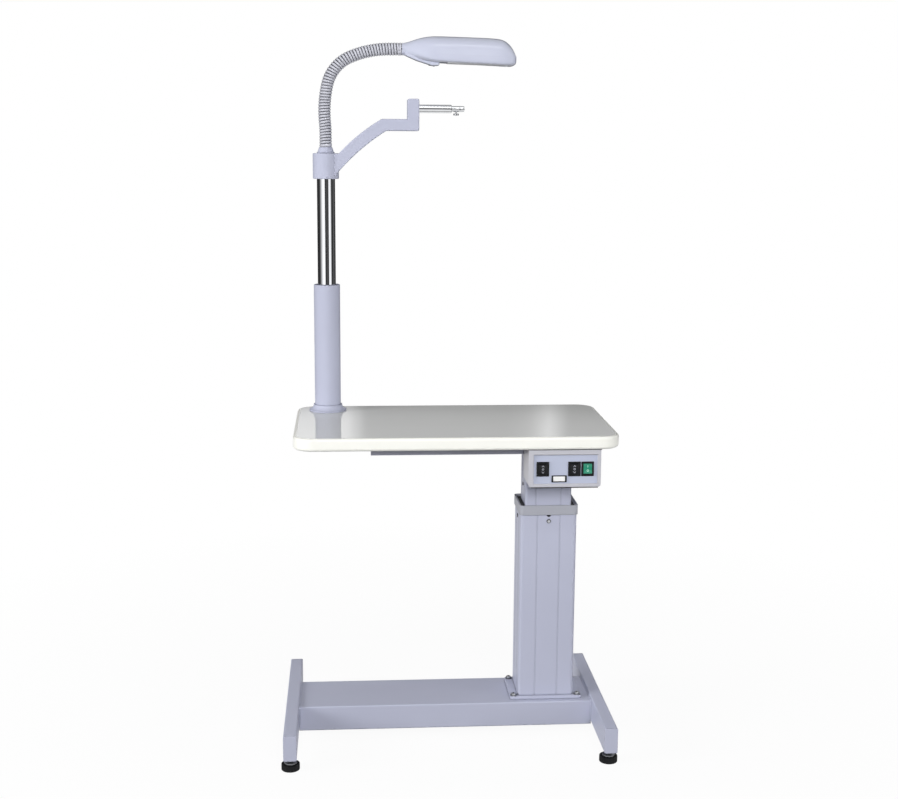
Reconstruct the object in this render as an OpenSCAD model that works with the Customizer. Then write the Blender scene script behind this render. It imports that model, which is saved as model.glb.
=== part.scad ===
// Ophthalmic combination table: an instrument table that an electric column lifts, on an H-shaped base.
// A telescopic post on the table carries a phoropter arm and a lamp on a ribbed gooseneck.
// Millimetres. +X runs along the table to the right, +Y away from the switch panel, +Z up.
// The origin is on the floor, under the middle of the whole object's box.

/* [Base] */
// Clear distance between the two side rails
rail_gap = 702; // [600:1:900]
// Width of a side rail
rail_w = 30; // [26:1:44]
// Height of a side rail
rail_h = 60; // [50:1:90]
// Length of a side rail with its end caps
rail_len = 480; // [380:1:700]
// Underside of the rails above the floor
rail_lift = 32; // [29:1:50]
// Wall of the rail and beam tubes
tube_wall = 2; // [1.5:0.1:3]
// Outer corner radius of the rail and beam tubes
tube_r = 3; // [3:0.1:5]
// Thickness of the plate of a rail's end cap
end_cap_t = 2; // [1:0.5:5]
// Length of the plug of an end cap inside the rail
end_plug_len = 10; // [4:1:15]
// Depth of the cross beam
beam_d = 160; // [140:1:220]
// Height of the cross beam
beam_h = 60; // [40:1:80]
// Step from the top of the rails down to the top of the beam
beam_drop = 7; // [0:1:12]
// Distance of the beam's middle behind the middle of the rails
beam_back = 22; // [0:1:60]

/* [Feet] */
// Diameter of a foot's rubber pad
pad_d = 42; // [34:1:60]
// Height of a foot's rubber pad
pad_h = 15; // [12:0.5:18]
// Distance from a foot's middle to the end of its rail
foot_inset = 31; // [26:1:60]
// Diameter of a foot's threaded stem
stem_d = 10; // [8:0.5:12]
// Length of the stem above its plate
stem_len = 36; // [28:1:50]
// Diameter of the steel plate between stem and pad
foot_plate_d = 30; // [24:1:33]
// Thickness of that plate
foot_plate_t = 3; // [2:0.5:5]
// Height of the lock nuts and the nuts welded in the rails
nut_h = 8; // [5:0.5:9]
// Width across the flats of those nuts
nut_af = 17; // [15:0.5:19]

/* [Column] */
// Distance of the column's middle to the right of the middle of the base
column_x = 242; // [150:1:255]
// Width of the outer profile
column_w = 134; // [132:1:150]
// Depth of the outer profile
column_d = 114; // [110:1:125]
// Distance from the top of the tabletop, as stored, down to the top of the outer profile
column_drop = 189; // [150:1:240]
// Wall of the outer profile
column_wall = 3; // [2:0.5:4]
// Corner radius of the outer profile
column_r = 7; // [5:0.5:10]
// Width of the foot flange
flange_w = 172; // [168:1:190]
// Depth of the foot flange
flange_d = 128; // [126:1:138]
// Thickness of the foot flange
flange_t = 8; // [5:0.5:12]
// Distance between the flange bolts, left to right
bolt_gap_x = 154; // [152:0.5:155]
// Distance between the flange bolts, front to back
bolt_gap_y = 110; // [90:0.5:111]
// Diameter of the flange bolts
bolt_d = 8; // [6:0.5:9]
// Height of the cap on the outer profile
cap_h = 23; // [12:0.5:30]
// Wall of that cap
cap_wall = 2.5; // [1.5:0.1:4]
// Height of the cap's rim above the outer profile
cap_over = 5.5; // [3:0.1:10]
// Width of the inner profile
inner_w = 110; // [104:1:112]
// Depth of the inner profile
inner_d = 88; // [84:1:92]
// Distance from the flange up to the foot of the inner profile, as stored
inner_clear = 82; // [50:1:130]
// Wall of the inner profile
inner_wall = 3; // [2:0.5:3.5]
// Corner radius of the inner profile
inner_r = 5; // [4.5:0.5:8]
// Length of the plastic guide in the mouth of the outer profile
upper_guide_len = 45; // [40:1:80]
// Length of the plastic guide at the foot of the inner profile
lower_guide_len = 30; // [20:1:60]

/* [Lift drive] */
// Diameter of the drive's push tube
push_d = 28; // [26:0.5:29]
// Bore of the push tube
push_bore = 20; // [18.5:0.5:22]
// Distance from the gear housing up to the foot of the push tube, as stored
push_clear = 82; // [40:1:115]
// Wall of the guide tube around the push tube
drive_tube_wall = 3.5; // [2:0.5:4]
// Length of that guide tube
drive_tube_len = 290; // [250:1:330]
// Diameter of the lift spindle
spindle_d = 16; // [12:0.5:17]
// Length of the lift spindle
spindle_len = 285; // [260:1:310]
// Width of the gear housing
gear_w = 88; // [84:1:96]
// Depth of the gear housing
gear_d = 60; // [50:1:70]
// Height of the gear housing
gear_h = 40; // [30:1:50]
// Diameter of the motor
motor_d = 44; // [34:1:46]
// Height of the motor above the gear housing
motor_h = 95; // [60:1:130]

/* [Tabletop] */
// Width of the tabletop
table_w = 750; // [650:1:900]
// Depth of the tabletop
table_d = 410; // [380:1:500]
// Thickness of the tabletop
table_t = 30; // [26:1:40]
// Height of the tabletop above the floor, as stored
table_h = 750; // [735:1:790]
// Corner radius of the tabletop, seen from above
table_r = 45; // [20:1:70]
// Distance of the tabletop's middle to the right of the middle of the base
table_x = 19; // [-20:1:60]
// Distance of the tabletop's middle behind the middle of the rails
table_y = 79; // [40:1:100]
// Width of the rounded edge band
band_w = 7.5; // [5:0.5:14]
// Radius of the band's nose
band_nose = 7; // [2:0.5:8]
// Thickness of the laminate on the board
laminate_t = 1; // [0.6:0.1:2]

/* [Table bracket] */
// Thickness of the plate welded on the inner profile
top_plate_t = 5; // [3:0.5:8]
// Thickness of the bracket's web
web_t = 5; // [3:0.5:8]
// Thickness of the bracket's two lips
lip_t = 3; // [2:0.5:5]
// Height of the bracket, web and lips together
bracket_h = 31; // [20:1:50]
// Reach of the bracket to the left of the inner profile
bracket_reach = 365; // [250:1:420]

/* [Control box] */
// Distance of the box's left side to the left of the inner profile
box_left = 6; // [0:1:20]
// Distance of the box's right side to the right of the inner profile
box_right = 51; // [44:1:69]
// Height of the control box without its lid
box_h = 87; // [80:1:100]
// Depth of the control box without its bezel
box_d = 88; // [84:1:110]
// Sheet thickness of the box
sheet_t = 1.5; // [1:0.1:2.5]
// Radius of the box's lower corners
box_r = 6; // [3:0.5:10]
// Thickness of the lid under the tabletop
lid_t = 2; // [1:0.5:4]
// Depth of the bezel around the switch panel
bezel_t = 4; // [3:0.5:8]
// Border of the bezel at its left side and top
bezel_wide = 12; // [8:0.5:14]
// Border of the bezel at its right side and bottom
bezel_narrow = 8; // [7:0.5:10]
// Thickness of the switch panel
panel_t = 2; // [1:0.1:3]

/* [Switches] */
// Width of a switch frame
switch_w = 29; // [27:0.5:30]
// Height of a switch frame
switch_h = 34; // [31:0.5:38]
// Width of a rocker
rocker_w = 19.4; // [16:0.1:20.5]
// Height of a rocker
rocker_h = 23; // [20:0.1:24]
// Distance between the middles of the two right-hand switches
switch_pitch = 30.5; // [30:0.1:32]
// Tilt of a rocker from its middle to either side, degrees
rocker_tilt = 8; // [4:0.5:9]
// Width of the label window
window_w = 35; // [30:0.5:40]
// Height of the label window
window_h = 16; // [13:0.5:17]

/* [Post] */
// Distance of the post's middle from the left edge of the tabletop
post_in_x = 76; // [60:1:200]
// Distance of the post's middle from the back edge of the tabletop
post_in_y = 57; // [57:1:120]
// Diameter of the outer tube
post_d = 64; // [60:0.5:75]
// Wall of the outer tube
post_wall = 3; // [2:0.5:5]
// Height of the outer tube above the tabletop
post_h = 314; // [260:1:400]
// Diameter of the flared foot
post_foot_d = 92; // [85:1:95]
// Height of the flared foot
post_foot_h = 16; // [10:1:30]
// Diameter of the chrome tube
mast_d = 44; // [38:0.5:48]
// Wall of the chrome tube
mast_wall = 2; // [1.5:0.1:2.5]
// Length of the chrome tube
mast_len = 420; // [380:1:450]
// Length of the chrome tube that shows below the arm
mast_out = 256; // [200:1:280]
// Length of the plastic bush in the outer tube
bush_len = 60; // [40:1:80]

/* [Arm] */
// Diameter of the arm's collar
collar_d = 63; // [58:0.5:70]
// Height of the collar
collar_h = 61; // [50:1:75]
// Thickness of the arm, front to back
arm_t = 48; // [36:1:54]
// Distance from the post's middle to the end face of the arm
arm_reach = 225; // [210:1:300]
// Height of the arm's level bar
bar_h = 28; // [22:1:36]
// Height of the bar's underside above the collar's underside
bar_rise = 115; // [100:1:135]
// Width of the upright at the arm's end
upright_w = 28; // [26:1:36]
// Height of the upright above the bar's underside
upright_h = 76; // [66:1:100]
// Diameter of the pin
pin_d = 20; // [16:0.5:22]
// Length of the pin outside the arm
pin_len = 79; // [50:1:100]
// Diameter of the pin's tip
tip_d = 14; // [12:0.5:15]
// Length of the pin's tip
tip_len = 31; // [28:1:40]
// Diameter of the lock screw's knob
knob_d = 13; // [9:0.5:15]

/* [Lamp] */
// Height of the cone under the gooseneck
cone_h = 14.5; // [10:0.5:25]
// Diameter of the cone's foot
cone_d = 43; // [42:0.5:46]
// Diameter of the gooseneck over its ribs
neck_d = 30.5; // [25:0.5:32]
// Bore of the gooseneck
neck_bore = 15; // [10:0.5:18]
// Length of the lamp head
head_len = 276; // [250:1:320]
// Width of the lamp head
head_w = 76; // [70:1:90]
// Height of the head's top above the middle of its neck
head_top = 33.5; // [26:0.5:40]
// Depth of the head's underside below the middle of its neck
head_bottom = 29.5; // [28:0.5:38]
// Wall of the lamp head
head_wall = 2.2; // [1.6:0.1:2.6]
// Diameter of each leg of the fluorescent tube
lamp_d = 12; // [10:0.5:14]

/* [Hidden] */
$fn = 64;

// Clearances: a turning fit, a fixed fit, a sliding fit, and room around a free piece
run_gap = 0.05;
fit_gap = 0.1;
slide_gap = 0.3;
room = 1;
// How far a cut runs past the faces that it opens
over = 1;
// Width of a small chamfer or rounded edge
ease = 1.5;

// Colours
paint = "#B9BCD0";
cap_grey = "#A3A5AF";
box_grey = "#BDBCC8";
panel_blue = "#B5BAD0";
zinc = "#B8BABD";
black_rubber = "#161718";
black_plastic = "#1B1C1F";
white_board = "#FDFDF8";
green = "#2E9272";

// Heights that stack up from the floor
rail_top = rail_lift + rail_h;
beam_top = rail_top - beam_drop;
flange_top = beam_top + flange_t;
column_top = table_h - column_drop;
column_len = column_top - flange_top;
table_under = table_h - table_t;
plate_top = table_under - web_t;
inner_top = plate_top - top_plate_t;
inner_foot = flange_top + inner_clear;
inner_len = inner_top - inner_foot;
push_foot = flange_top + gear_h + push_clear;
push_len = inner_top - push_foot;
collar_foot = table_h + post_h + mast_out;
collar_top = collar_foot + collar_h;

// Places in the plane, measured from the middle of the rails
foot_x = rail_gap / 2 + rail_w / 2;
foot_y = rail_len / 2 - foot_inset;
inner_left = column_x - inner_w / 2;
post_x = table_x - table_w / 2 + post_in_x;
post_y = table_y + table_d / 2 - post_in_y;

// The whole object's box, for the origin
reach_x = max(rail_gap / 2 + rail_w, foot_x + pad_d / 2);
right_x = max(reach_x, table_x + table_w / 2);
back_y = max(rail_len / 2, table_y + table_d / 2);
module in_frame() translate([(reach_x - right_x) / 2, (rail_len / 2 - back_y) / 2, 0]) children();
module at_column() in_frame() translate([column_x, beam_back, 0]) children();
module at_post() in_frame() translate([post_x, post_y, 0]) children();

// Shapes used by several pieces
module rounded(w, d, r) {
    square([w - 2 * r, d], center = true);
    square([w, d - 2 * r], center = true);
    for (x = [-1, 1], y = [-1, 1]) translate([x * (w / 2 - r), y * (d / 2 - r)]) circle(r);
}

module frame_2d(w, d, r, wall) {
    difference() {
        rounded(w, d, r);
        rounded(w - 2 * wall, d - 2 * wall, r - wall);
    }
}

module ring(r_out, r_in, h) {
    difference() {
        cylinder(r = r_out, h = h);
        translate([0, 0, -over]) cylinder(r = r_in, h = h + 2 * over);
    }
}

module disc_with_eased_edges(r, h, edge) {
    rotate_extrude() polygon([[0, 0], [r - edge, 0], [r, edge], [r, h - edge], [r - edge, h], [0, h]]);
}

module hex(af, h) cylinder(d = af / cos(30), h = h, $fn = 6);
module from_front() rotate([90, 0, 0]) children();

// Points on the low arc from p to q that rises by sag over its chord
function arc_points(p, q, sag, n) = let(run = q - p, side = [-run[1], run[0]] / norm(run))
    [for (i = [0 : n]) let(t = i / n) p + t * run + 4 * sag * t * (1 - t) * side];

// Side rails, closed at both ends by caps
module rail(side) {
    color(paint) in_frame() translate([side * foot_x, 0, rail_lift + rail_h / 2]) difference() {
        rotate([90, 0, 0]) linear_extrude(rail_len - 2 * end_cap_t, center = true)
            frame_2d(rail_w, rail_h, tube_r, tube_wall);
        for (y = [-1, 1]) translate([0, y * foot_y, -rail_h / 2 - over])
            cylinder(d = stem_d + room, h = tube_wall + 2 * over);
    }
}

module left_rail() rail(-1);
module right_rail() rail(1);

module rail_end_caps() {
    color(paint) in_frame() for (side = [-1, 1], back = [0, 1])
        translate([side * foot_x, 0, rail_lift + rail_h / 2]) mirror([0, back, 0])
            translate([0, -rail_len / 2, 0]) rotate([-90, 0, 0]) {
                linear_extrude(end_cap_t) rounded(rail_w, rail_h, tube_r);
                translate([0, 0, end_cap_t]) linear_extrude(end_plug_len)
                    rounded(rail_w - 2 * (tube_wall + fit_gap), rail_h - 2 * (tube_wall + fit_gap),
                        tube_r - tube_wall);
            }
}

module cross_beam() {
    hole_z = beam_h / 2 - tube_wall;
    color(paint) in_frame() translate([0, beam_back, beam_top - beam_h / 2]) difference() {
        rotate([90, 0, 90]) linear_extrude(rail_gap, center = true)
            frame_2d(beam_d, beam_h, tube_r, tube_wall);
        for (x = [-1, 1], y = [-1, 1])
            translate([column_x + x * bolt_gap_x / 2, y * bolt_gap_y / 2, hole_z - over])
                cylinder(d = bolt_d + room, h = tube_wall + 2 * over);
    }
}

// Levelling feet: a rubber pad on a steel plate and stem, screwed through a lock nut into a welded nut
module at_foot(x, y) in_frame() translate([x * foot_x, y * foot_y, 0]) children();

module foot_nuts() {
    color(zinc) for (x = [-1, 1], y = [-1, 1]) at_foot(x, y)
        for (z = [rail_lift - nut_h, rail_lift + tube_wall]) translate([0, 0, z]) difference() {
            hex(nut_af, nut_h);
            translate([0, 0, -over]) cylinder(r = stem_d / 2 + run_gap, h = nut_h + 2 * over);
        }
}

pad_socket = 6;
module foot_pad(x, y) {
    color(black_rubber) at_foot(x, y) difference() {
        disc_with_eased_edges(pad_d / 2, pad_h, ease);
        translate([0, 0, pad_h - pad_socket]) cylinder(r = stem_d / 2 + run_gap, h = pad_socket + over);
    }
}

module foot_stem(x, y) {
    color(zinc) at_foot(x, y) {
        translate([0, 0, pad_h]) cylinder(d = foot_plate_d, h = foot_plate_t);
        translate([0, 0, pad_h - pad_socket]) cylinder(d = stem_d, h = pad_socket + foot_plate_t + stem_len);
    }
}

module foot_pad_front_left() foot_pad(-1, -1);
module foot_stem_front_left() foot_stem(-1, -1);
module foot_pad_front_right() foot_pad(1, -1);
module foot_stem_front_right() foot_stem(1, -1);
module foot_pad_back_left() foot_pad(-1, 1);
module foot_stem_back_left() foot_stem(-1, 1);
module foot_pad_back_right() foot_pad(1, 1);
module foot_stem_back_right() foot_stem(1, 1);

// Column flange with its four bolts through the top wall of the beam
flange_r = 6;
module column_flange() {
    color(paint) at_column() translate([0, 0, beam_top]) difference() {
        linear_extrude(flange_t) rounded(flange_w, flange_d, flange_r);
        for (x = [-1, 1], y = [-1, 1]) translate([x * bolt_gap_x / 2, y * bolt_gap_y / 2, -over])
            cylinder(d = bolt_d + room, h = flange_t + 2 * over);
    }
}

washer_t = 1.6;
washer_r = bolt_d;
bolt_head_r = 0.8 * bolt_d;
bolt_head_h = 0.55 * bolt_d;
module flange_bolts() {
    grip = washer_t + flange_t + tube_wall;
    color(zinc) for (x = [-1, 1], y = [-1, 1]) at_column()
        translate([x * bolt_gap_x / 2, y * bolt_gap_y / 2, flange_top]) {
            ring(washer_r, bolt_d / 2 + fit_gap, washer_t);
            translate([0, 0, washer_t]) difference() {
                rotate_extrude() polygon(concat([[0, 0], [bolt_head_r, 0]],
                    arc_points([bolt_head_r, bolt_head_h / 4], [bolt_d / 2, bolt_head_h], -ease / 2, 4),
                    [[0, bolt_head_h]]));
                translate([0, 0, bolt_head_h / 2]) hex(bolt_d / 2, bolt_head_h);
            }
            translate([0, 0, washer_t - grip - bolt_d]) cylinder(d = bolt_d, h = grip + bolt_d);
            translate([0, 0, -flange_t - tube_wall - 0.8 * bolt_d]) difference() {
                hex(1.6 * bolt_d, 0.8 * bolt_d);
                translate([0, 0, -over]) cylinder(r = bolt_d / 2 + run_gap, h = 0.8 * bolt_d + 2 * over);
            }
        }
}

// Extruded column profiles with two shallow grooves along each face
groove_w = 2.5;
groove_depth = 0.5;
outer_groove_share = 0.2;
inner_groove_share = 0.27;
module profile(w, d, r, wall, groove_share) {
    difference() {
        frame_2d(w, d, r, wall);
        for (x = [-1, 1], y = [-1, 1]) {
            translate([x * groove_share * w, y * d / 2]) square([groove_w, 2 * groove_depth], center = true);
            translate([x * w / 2, y * groove_share * d]) square([2 * groove_depth, groove_w], center = true);
        }
    }
}

// Screws that hold the upper guide, in the middle of the front and of the left side
screw_drop = 33;
guide_screw_d = 5;
module at_guide_screws() translate([0, 0, column_top - screw_drop]) {
    translate([0, -column_d / 2, 0]) rotate([90, 0, 0]) children();
    translate([-column_w / 2, 0, 0]) rotate([0, -90, 0]) children();
}

// Open hole for a second guide screw, half hidden by the cap's skirt
spare_hole_d = 11;

module outer_column() {
    color(paint) at_column() difference() {
        translate([0, 0, flange_top]) linear_extrude(column_len)
            profile(column_w, column_d, column_r, column_wall, outer_groove_share);
        translate([0, -column_d / 2, column_top + cap_over - cap_h]) from_front()
            cylinder(d = spare_hole_d, h = 2 * (column_wall + over), center = true);
        at_guide_screws() translate([0, 0, -column_wall - over])
            cylinder(r = guide_screw_d / 2 + fit_gap, h = column_wall + 2 * over);
    }
}

guide_screw_bite = 8;
module column_screws() {
    color(zinc) at_column() at_guide_screws() {
        rotate_extrude() polygon(concat([[0, 0], [guide_screw_d, 0]],
            arc_points([guide_screw_d, ease / 2], [0, guide_screw_d / 2], -ease / 4, 5)));
        translate([0, 0, -guide_screw_bite]) cylinder(d = guide_screw_d, h = guide_screw_bite + ease / 2);
    }
}

cap_shelf = 2;
module column_cap() {
    skirt_w = column_w + 2 * fit_gap;
    skirt_d = column_d + 2 * fit_gap;
    color(cap_grey) at_column() difference() {
        translate([0, 0, column_top + cap_over - cap_h]) linear_extrude(cap_h)
            rounded(skirt_w + 2 * cap_wall, skirt_d + 2 * cap_wall, column_r + cap_wall);
        translate([0, 0, column_top - cap_h]) linear_extrude(cap_h) rounded(skirt_w, skirt_d, column_r);
        translate([0, 0, column_top - over]) linear_extrude(cap_over + 2 * over)
            rounded(column_w - 2 * column_wall, column_d - 2 * column_wall, column_r - column_wall);
        translate([0, 0, column_top + cap_shelf]) linear_extrude(cap_over)
            rounded(skirt_w, skirt_d, column_r);
    }
}

module upper_guide() {
    out_w = column_w - 2 * (column_wall + fit_gap);
    out_d = column_d - 2 * (column_wall + fit_gap);
    color(black_plastic) at_column() difference() {
        translate([0, 0, column_top - upper_guide_len]) linear_extrude(upper_guide_len) difference() {
            rounded(out_w, out_d, column_r - column_wall);
            rounded(inner_w + 2 * slide_gap, inner_d + 2 * slide_gap, inner_r);
        }
        at_guide_screws() translate([0, 0, -guide_screw_bite - room])
            cylinder(r = guide_screw_d / 2 + run_gap, h = guide_screw_bite + room);
    }
}

// Lift drive: motor and gear housing on the flange, guide tube, spindle, and a push tube with its nut
drive_x = gear_w / 4;
motor_x = -drive_x;
journal = 15;
module lift_motor() {
    color(black_plastic) at_column() translate([0, 0, flange_top]) difference() {
        union() {
            translate([-gear_w / 2, -gear_d / 2, 0]) cube([gear_w, gear_d, gear_h]);
            translate([motor_x, 0, gear_h]) disc_with_eased_edges(motor_d / 2 - room, motor_h, ease);
        }
        translate([drive_x, 0, gear_h - journal]) cylinder(r = spindle_d / 2 + run_gap, h = journal + over);
    }
}

drive_tube_r = push_d / 2 + slide_gap + drive_tube_wall;
module drive_tube() {
    color(zinc) at_column() translate([drive_x, 0, flange_top + gear_h])
        ring(drive_tube_r, push_d / 2 + slide_gap, drive_tube_len);
}

module lift_spindle() {
    color("silver") at_column() translate([drive_x, 0, flange_top + gear_h - journal])
        cylinder(d = spindle_d, h = spindle_len);
}

drive_nut_len = 20;
module push_tube() {
    color("silver") at_column() translate([drive_x, 0, push_foot]) difference() {
        cylinder(d = push_d, h = push_len);
        translate([0, 0, -over]) cylinder(r = spindle_d / 2 + run_gap, h = drive_nut_len + 2 * over);
        translate([0, 0, drive_nut_len]) cylinder(d = push_bore, h = push_len);
    }
}

// Inner column, its lower guide and the plate that closes its top
side_screw_d = 6;
side_screw_drop = 104;
module at_side_screw() translate([-inner_w / 2, 0, inner_top - side_screw_drop]) rotate([0, -90, 0]) children();

module inner_column() {
    color(paint) at_column() difference() {
        translate([0, 0, inner_foot]) linear_extrude(inner_len)
            profile(inner_w, inner_d, inner_r, inner_wall, inner_groove_share);
        at_side_screw() translate([0, 0, -inner_wall - over])
            cylinder(r = side_screw_d / 2 + run_gap, h = inner_wall + 2 * over);
    }
}

module lower_guide() {
    out_w = column_w - 2 * (column_wall + slide_gap);
    out_d = column_d - 2 * (column_wall + slide_gap);
    color(black_plastic) at_column() translate([0, 0, inner_foot]) linear_extrude(lower_guide_len)
        difference() {
            rounded(out_w, out_d, column_r - column_wall);
            rounded(inner_w + 2 * fit_gap, inner_d + 2 * fit_gap, inner_r);
        }
}

module column_top_plate() {
    color(paint) at_column() translate([0, 0, inner_top]) linear_extrude(top_plate_t)
        rounded(inner_w, inner_d, inner_r);
}

// Bracket: an inverted channel over the column's top that reaches left under the tabletop
bracket_d = inner_d + 2 * (slide_gap + lip_t);
screw_d = 6;
screw_head_r = 5.5;
screw_head_h = 3;
screw_bite = 20;
screw_shares = [0.08, 0.45, 0.82];
module at_table_screws() at_column()
    for (share = screw_shares, y = [-1, 1])
        translate([-inner_w / 2 - share * bracket_reach, y * inner_d / 3, plate_top]) children();

module table_bracket() {
    color(paint) difference() {
        at_column() translate([0, 0, table_under]) rotate([90, 0, -90])
            translate([0, 0, -inner_w / 2 - lip_t]) linear_extrude(inner_w + lip_t + bracket_reach)
                difference() {
                    translate([-bracket_d / 2, -bracket_h]) square([bracket_d, bracket_h]);
                    translate([-bracket_d / 2 + lip_t, -bracket_h - over])
                        square([bracket_d - 2 * lip_t, bracket_h - web_t + over]);
                }
        at_table_screws() translate([0, 0, -over]) cylinder(d = screw_d + room, h = web_t + 2 * over);
    }
}

module table_screws() {
    color(zinc) at_table_screws() {
        translate([0, 0, -screw_head_h]) disc_with_eased_edges(screw_head_r, screw_head_h, ease / 2);
        translate([0, 0, -screw_head_h / 2]) cylinder(d = screw_d, h = screw_head_h / 2 + web_t + screw_bite);
    }
}

// Tabletop: a board with laminate on top and a rounded band all round
module table_outline() rounded(table_w - 2 * band_w, table_d - 2 * band_w, table_r - band_w);
module at_table() in_frame() translate([table_x, table_y, 0]) children();
module post_hole(r) at_post() translate([0, 0, table_under - over])
    cylinder(r = r + fit_gap, h = table_t + 2 * over);

module tabletop_core() {
    color("#C9B48C") difference() {
        at_table() translate([0, 0, table_under]) linear_extrude(table_t - laminate_t) table_outline();
        post_hole(post_d / 2);
        at_table_screws() cylinder(r = screw_d / 2 + run_gap, h = web_t + screw_bite + room);
    }
}

module tabletop_laminate() {
    color("#E9EBEC") difference() {
        at_table() translate([0, 0, table_h - laminate_t]) linear_extrude(laminate_t) table_outline();
        post_hole(post_foot_d / 2);
    }
}

module band_2d() {
    intersection() {
        square([band_w, table_t]);
        union() {
            square([band_w - band_nose, table_t]);
            translate([0, band_nose]) square([band_w, table_t - 2 * band_nose]);
            for (z = [band_nose, table_t - band_nose]) translate([band_w - band_nose, z]) circle(band_nose);
        }
    }
}

module tabletop_edge() {
    side_x = table_w - 2 * table_r;
    side_y = table_d - 2 * table_r;
    color(white_board) at_table() translate([0, 0, table_under]) for (turn = [0, 180]) rotate([0, 0, turn]) {
        translate([side_x / 2, table_d / 2 - band_w, 0]) rotate([90, 0, -90]) mirror([1, 0, 0])
            linear_extrude(side_x) band_2d();
        translate([table_w / 2 - band_w, side_y / 2, 0]) rotate([90, 0, 0]) linear_extrude(side_y) band_2d();
        for (y = [0, 1]) mirror([0, y, 0]) translate([side_x / 2, side_y / 2, 0])
            rotate_extrude(angle = 90) translate([table_r - band_w, 0]) band_2d();
    }
}

// Control box: a folded shell under the tabletop, in front of the inner column
box_top = table_under - lid_t;
box_foot = box_top - box_h;
box_back = beam_back - bracket_d / 2 - fit_gap;
box_front = box_back - box_d;
box_w = box_left + inner_w + box_right;
bezel_front = box_front - bezel_t;
box_mid = inner_left - box_left + box_w / 2;
module at_box_front() in_frame() translate([box_mid, box_front, box_foot]) children();
module at_box_rear() in_frame() translate([box_mid, box_back, box_foot]) children();

// Outline of the box from the front, with its two lower corners rounded
module box_outline(w, h, r) {
    translate([-w / 2, r]) square([w, h - r]);
    translate([-w / 2 + r, 0]) square([w - 2 * r, h]);
    for (x = [-1, 1]) translate([x * (w / 2 - r), r]) circle(r);
}

gland_d = 16;
gland_in = 28;
gland_up = 26;
module at_gland() at_box_rear() translate([box_w / 2 - gland_in, 0, gland_up]) rotate([-90, 0, 0]) children();

box_screw_d = 4;
box_screw_back = 8;
module at_box_screws() for (x = [-0.33, 0.33]) translate([x * box_w, box_screw_back, 0]) children();

top_fold = 12;
module box_shell() {
    color(box_grey) difference() {
        at_box_front() rotate([90, 0, 0]) mirror([0, 0, 1]) {
            linear_extrude(box_d) difference() {
                box_outline(box_w, box_h, box_r);
                translate([0, sheet_t]) box_outline(box_w - 2 * sheet_t, box_h, box_r - sheet_t);
            }
            translate([0, 0, box_d - sheet_t]) linear_extrude(sheet_t) box_outline(box_w, box_h, box_r);
            for (x = [-1, 1]) linear_extrude(box_d)
                translate([x * (box_w - top_fold) / 2, box_h - sheet_t / 2])
                    square([top_fold, sheet_t], center = true);
        }
        at_gland() translate([0, 0, -sheet_t - over])
            cylinder(r = gland_d / 2 + fit_gap, h = sheet_t + 2 * over);
        at_box_front() at_box_screws() translate([0, 0, -over])
            cylinder(r = box_screw_d / 2 + fit_gap, h = sheet_t + 2 * over);
    }
}

// Black lid on the box and black cover plate under it, between its lower corners
lid_side = 1.5;
cover_t = 2;
module box_covers() {
    color(black_plastic) at_box_front() {
        translate([-box_w / 2, -bezel_t, box_h]) cube([box_w + lid_side, bezel_t + box_d, lid_t]);
        difference() {
            translate([box_r - box_w / 2, -bezel_t, -cover_t]) cube([box_w - 2 * box_r, bezel_t + box_d, cover_t]);
            at_box_screws() translate([0, 0, -cover_t - over])
                cylinder(r = box_screw_d / 2 + fit_gap, h = cover_t + 2 * over);
        }
    }
}

// Bezel and panel, seen from the front: x to the right and y up, from the box's lower middle
open_w = box_w - bezel_wide - bezel_narrow;
open_h = box_h - bezel_wide - bezel_narrow;
open_x = (bezel_wide - bezel_narrow) / 2;
open_y = (box_h - bezel_wide + bezel_narrow) / 2;
bezel_step = 1.5;
module box_bezel() {
    color(box_grey) at_box_front() rotate([90, 0, 0]) difference() {
        linear_extrude(bezel_t) box_outline(box_w, box_h, box_r);
        translate([open_x, open_y, -over]) linear_extrude(bezel_t + 2 * over)
            square([open_w, open_h], center = true);
        translate([open_x, open_y, bezel_t - bezel_step]) linear_extrude(bezel_step + over)
            square([open_w + 2 * bezel_step, open_h + 2 * bezel_step], center = true);
    }
}

// Middles of the switches and the label window on the panel
switch_y = 42;
left_switch_in = 6.5;
power_switch_in = 8;
left_switch_x = open_x - open_w / 2 + left_switch_in + switch_w / 2;
power_switch_x = open_x + open_w / 2 - power_switch_in - switch_w / 2;
right_switch_x = power_switch_x - switch_pitch;
window_play = right_switch_x - left_switch_x - switch_w - window_w;
window_gap_share = 2 / 3;
window_x = left_switch_x + switch_w / 2 + window_gap_share * window_play + window_w / 2;
window_y = 19;
// Front face of the panel, and a place on it seen from the front
panel_front = box_front;
module on_panel(x, y) at_box_front() translate([x, 0, y]) rotate([90, 0, 0]) children();

frame_t = 2;
frame_body_in = 2.5;
frame_body_depth = 14;
frame_body_w = switch_w - 2 * frame_body_in;
frame_body_h = switch_h - 2 * frame_body_in;
panel_lap = 5;
module switch_panel() {
    color(panel_blue) difference() {
        on_panel(open_x, open_y) translate([0, 0, -panel_t]) linear_extrude(panel_t)
            square([open_w + 2 * panel_lap, open_h + 2 * panel_lap], center = true);
        for (x = [left_switch_x, right_switch_x, power_switch_x]) on_panel(x, switch_y)
            translate([0, 0, -panel_t - over]) linear_extrude(panel_t + 2 * over)
                square([frame_body_w + 2 * fit_gap, frame_body_h + 2 * fit_gap], center = true);
        on_panel(window_x, window_y) translate([0, 0, -panel_t - over]) linear_extrude(panel_t + 2 * over)
            square([window_w - 2 * (frame_body_in - fit_gap), window_h - 2 * (frame_body_in - fit_gap)],
                center = true);
    }
}

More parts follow.
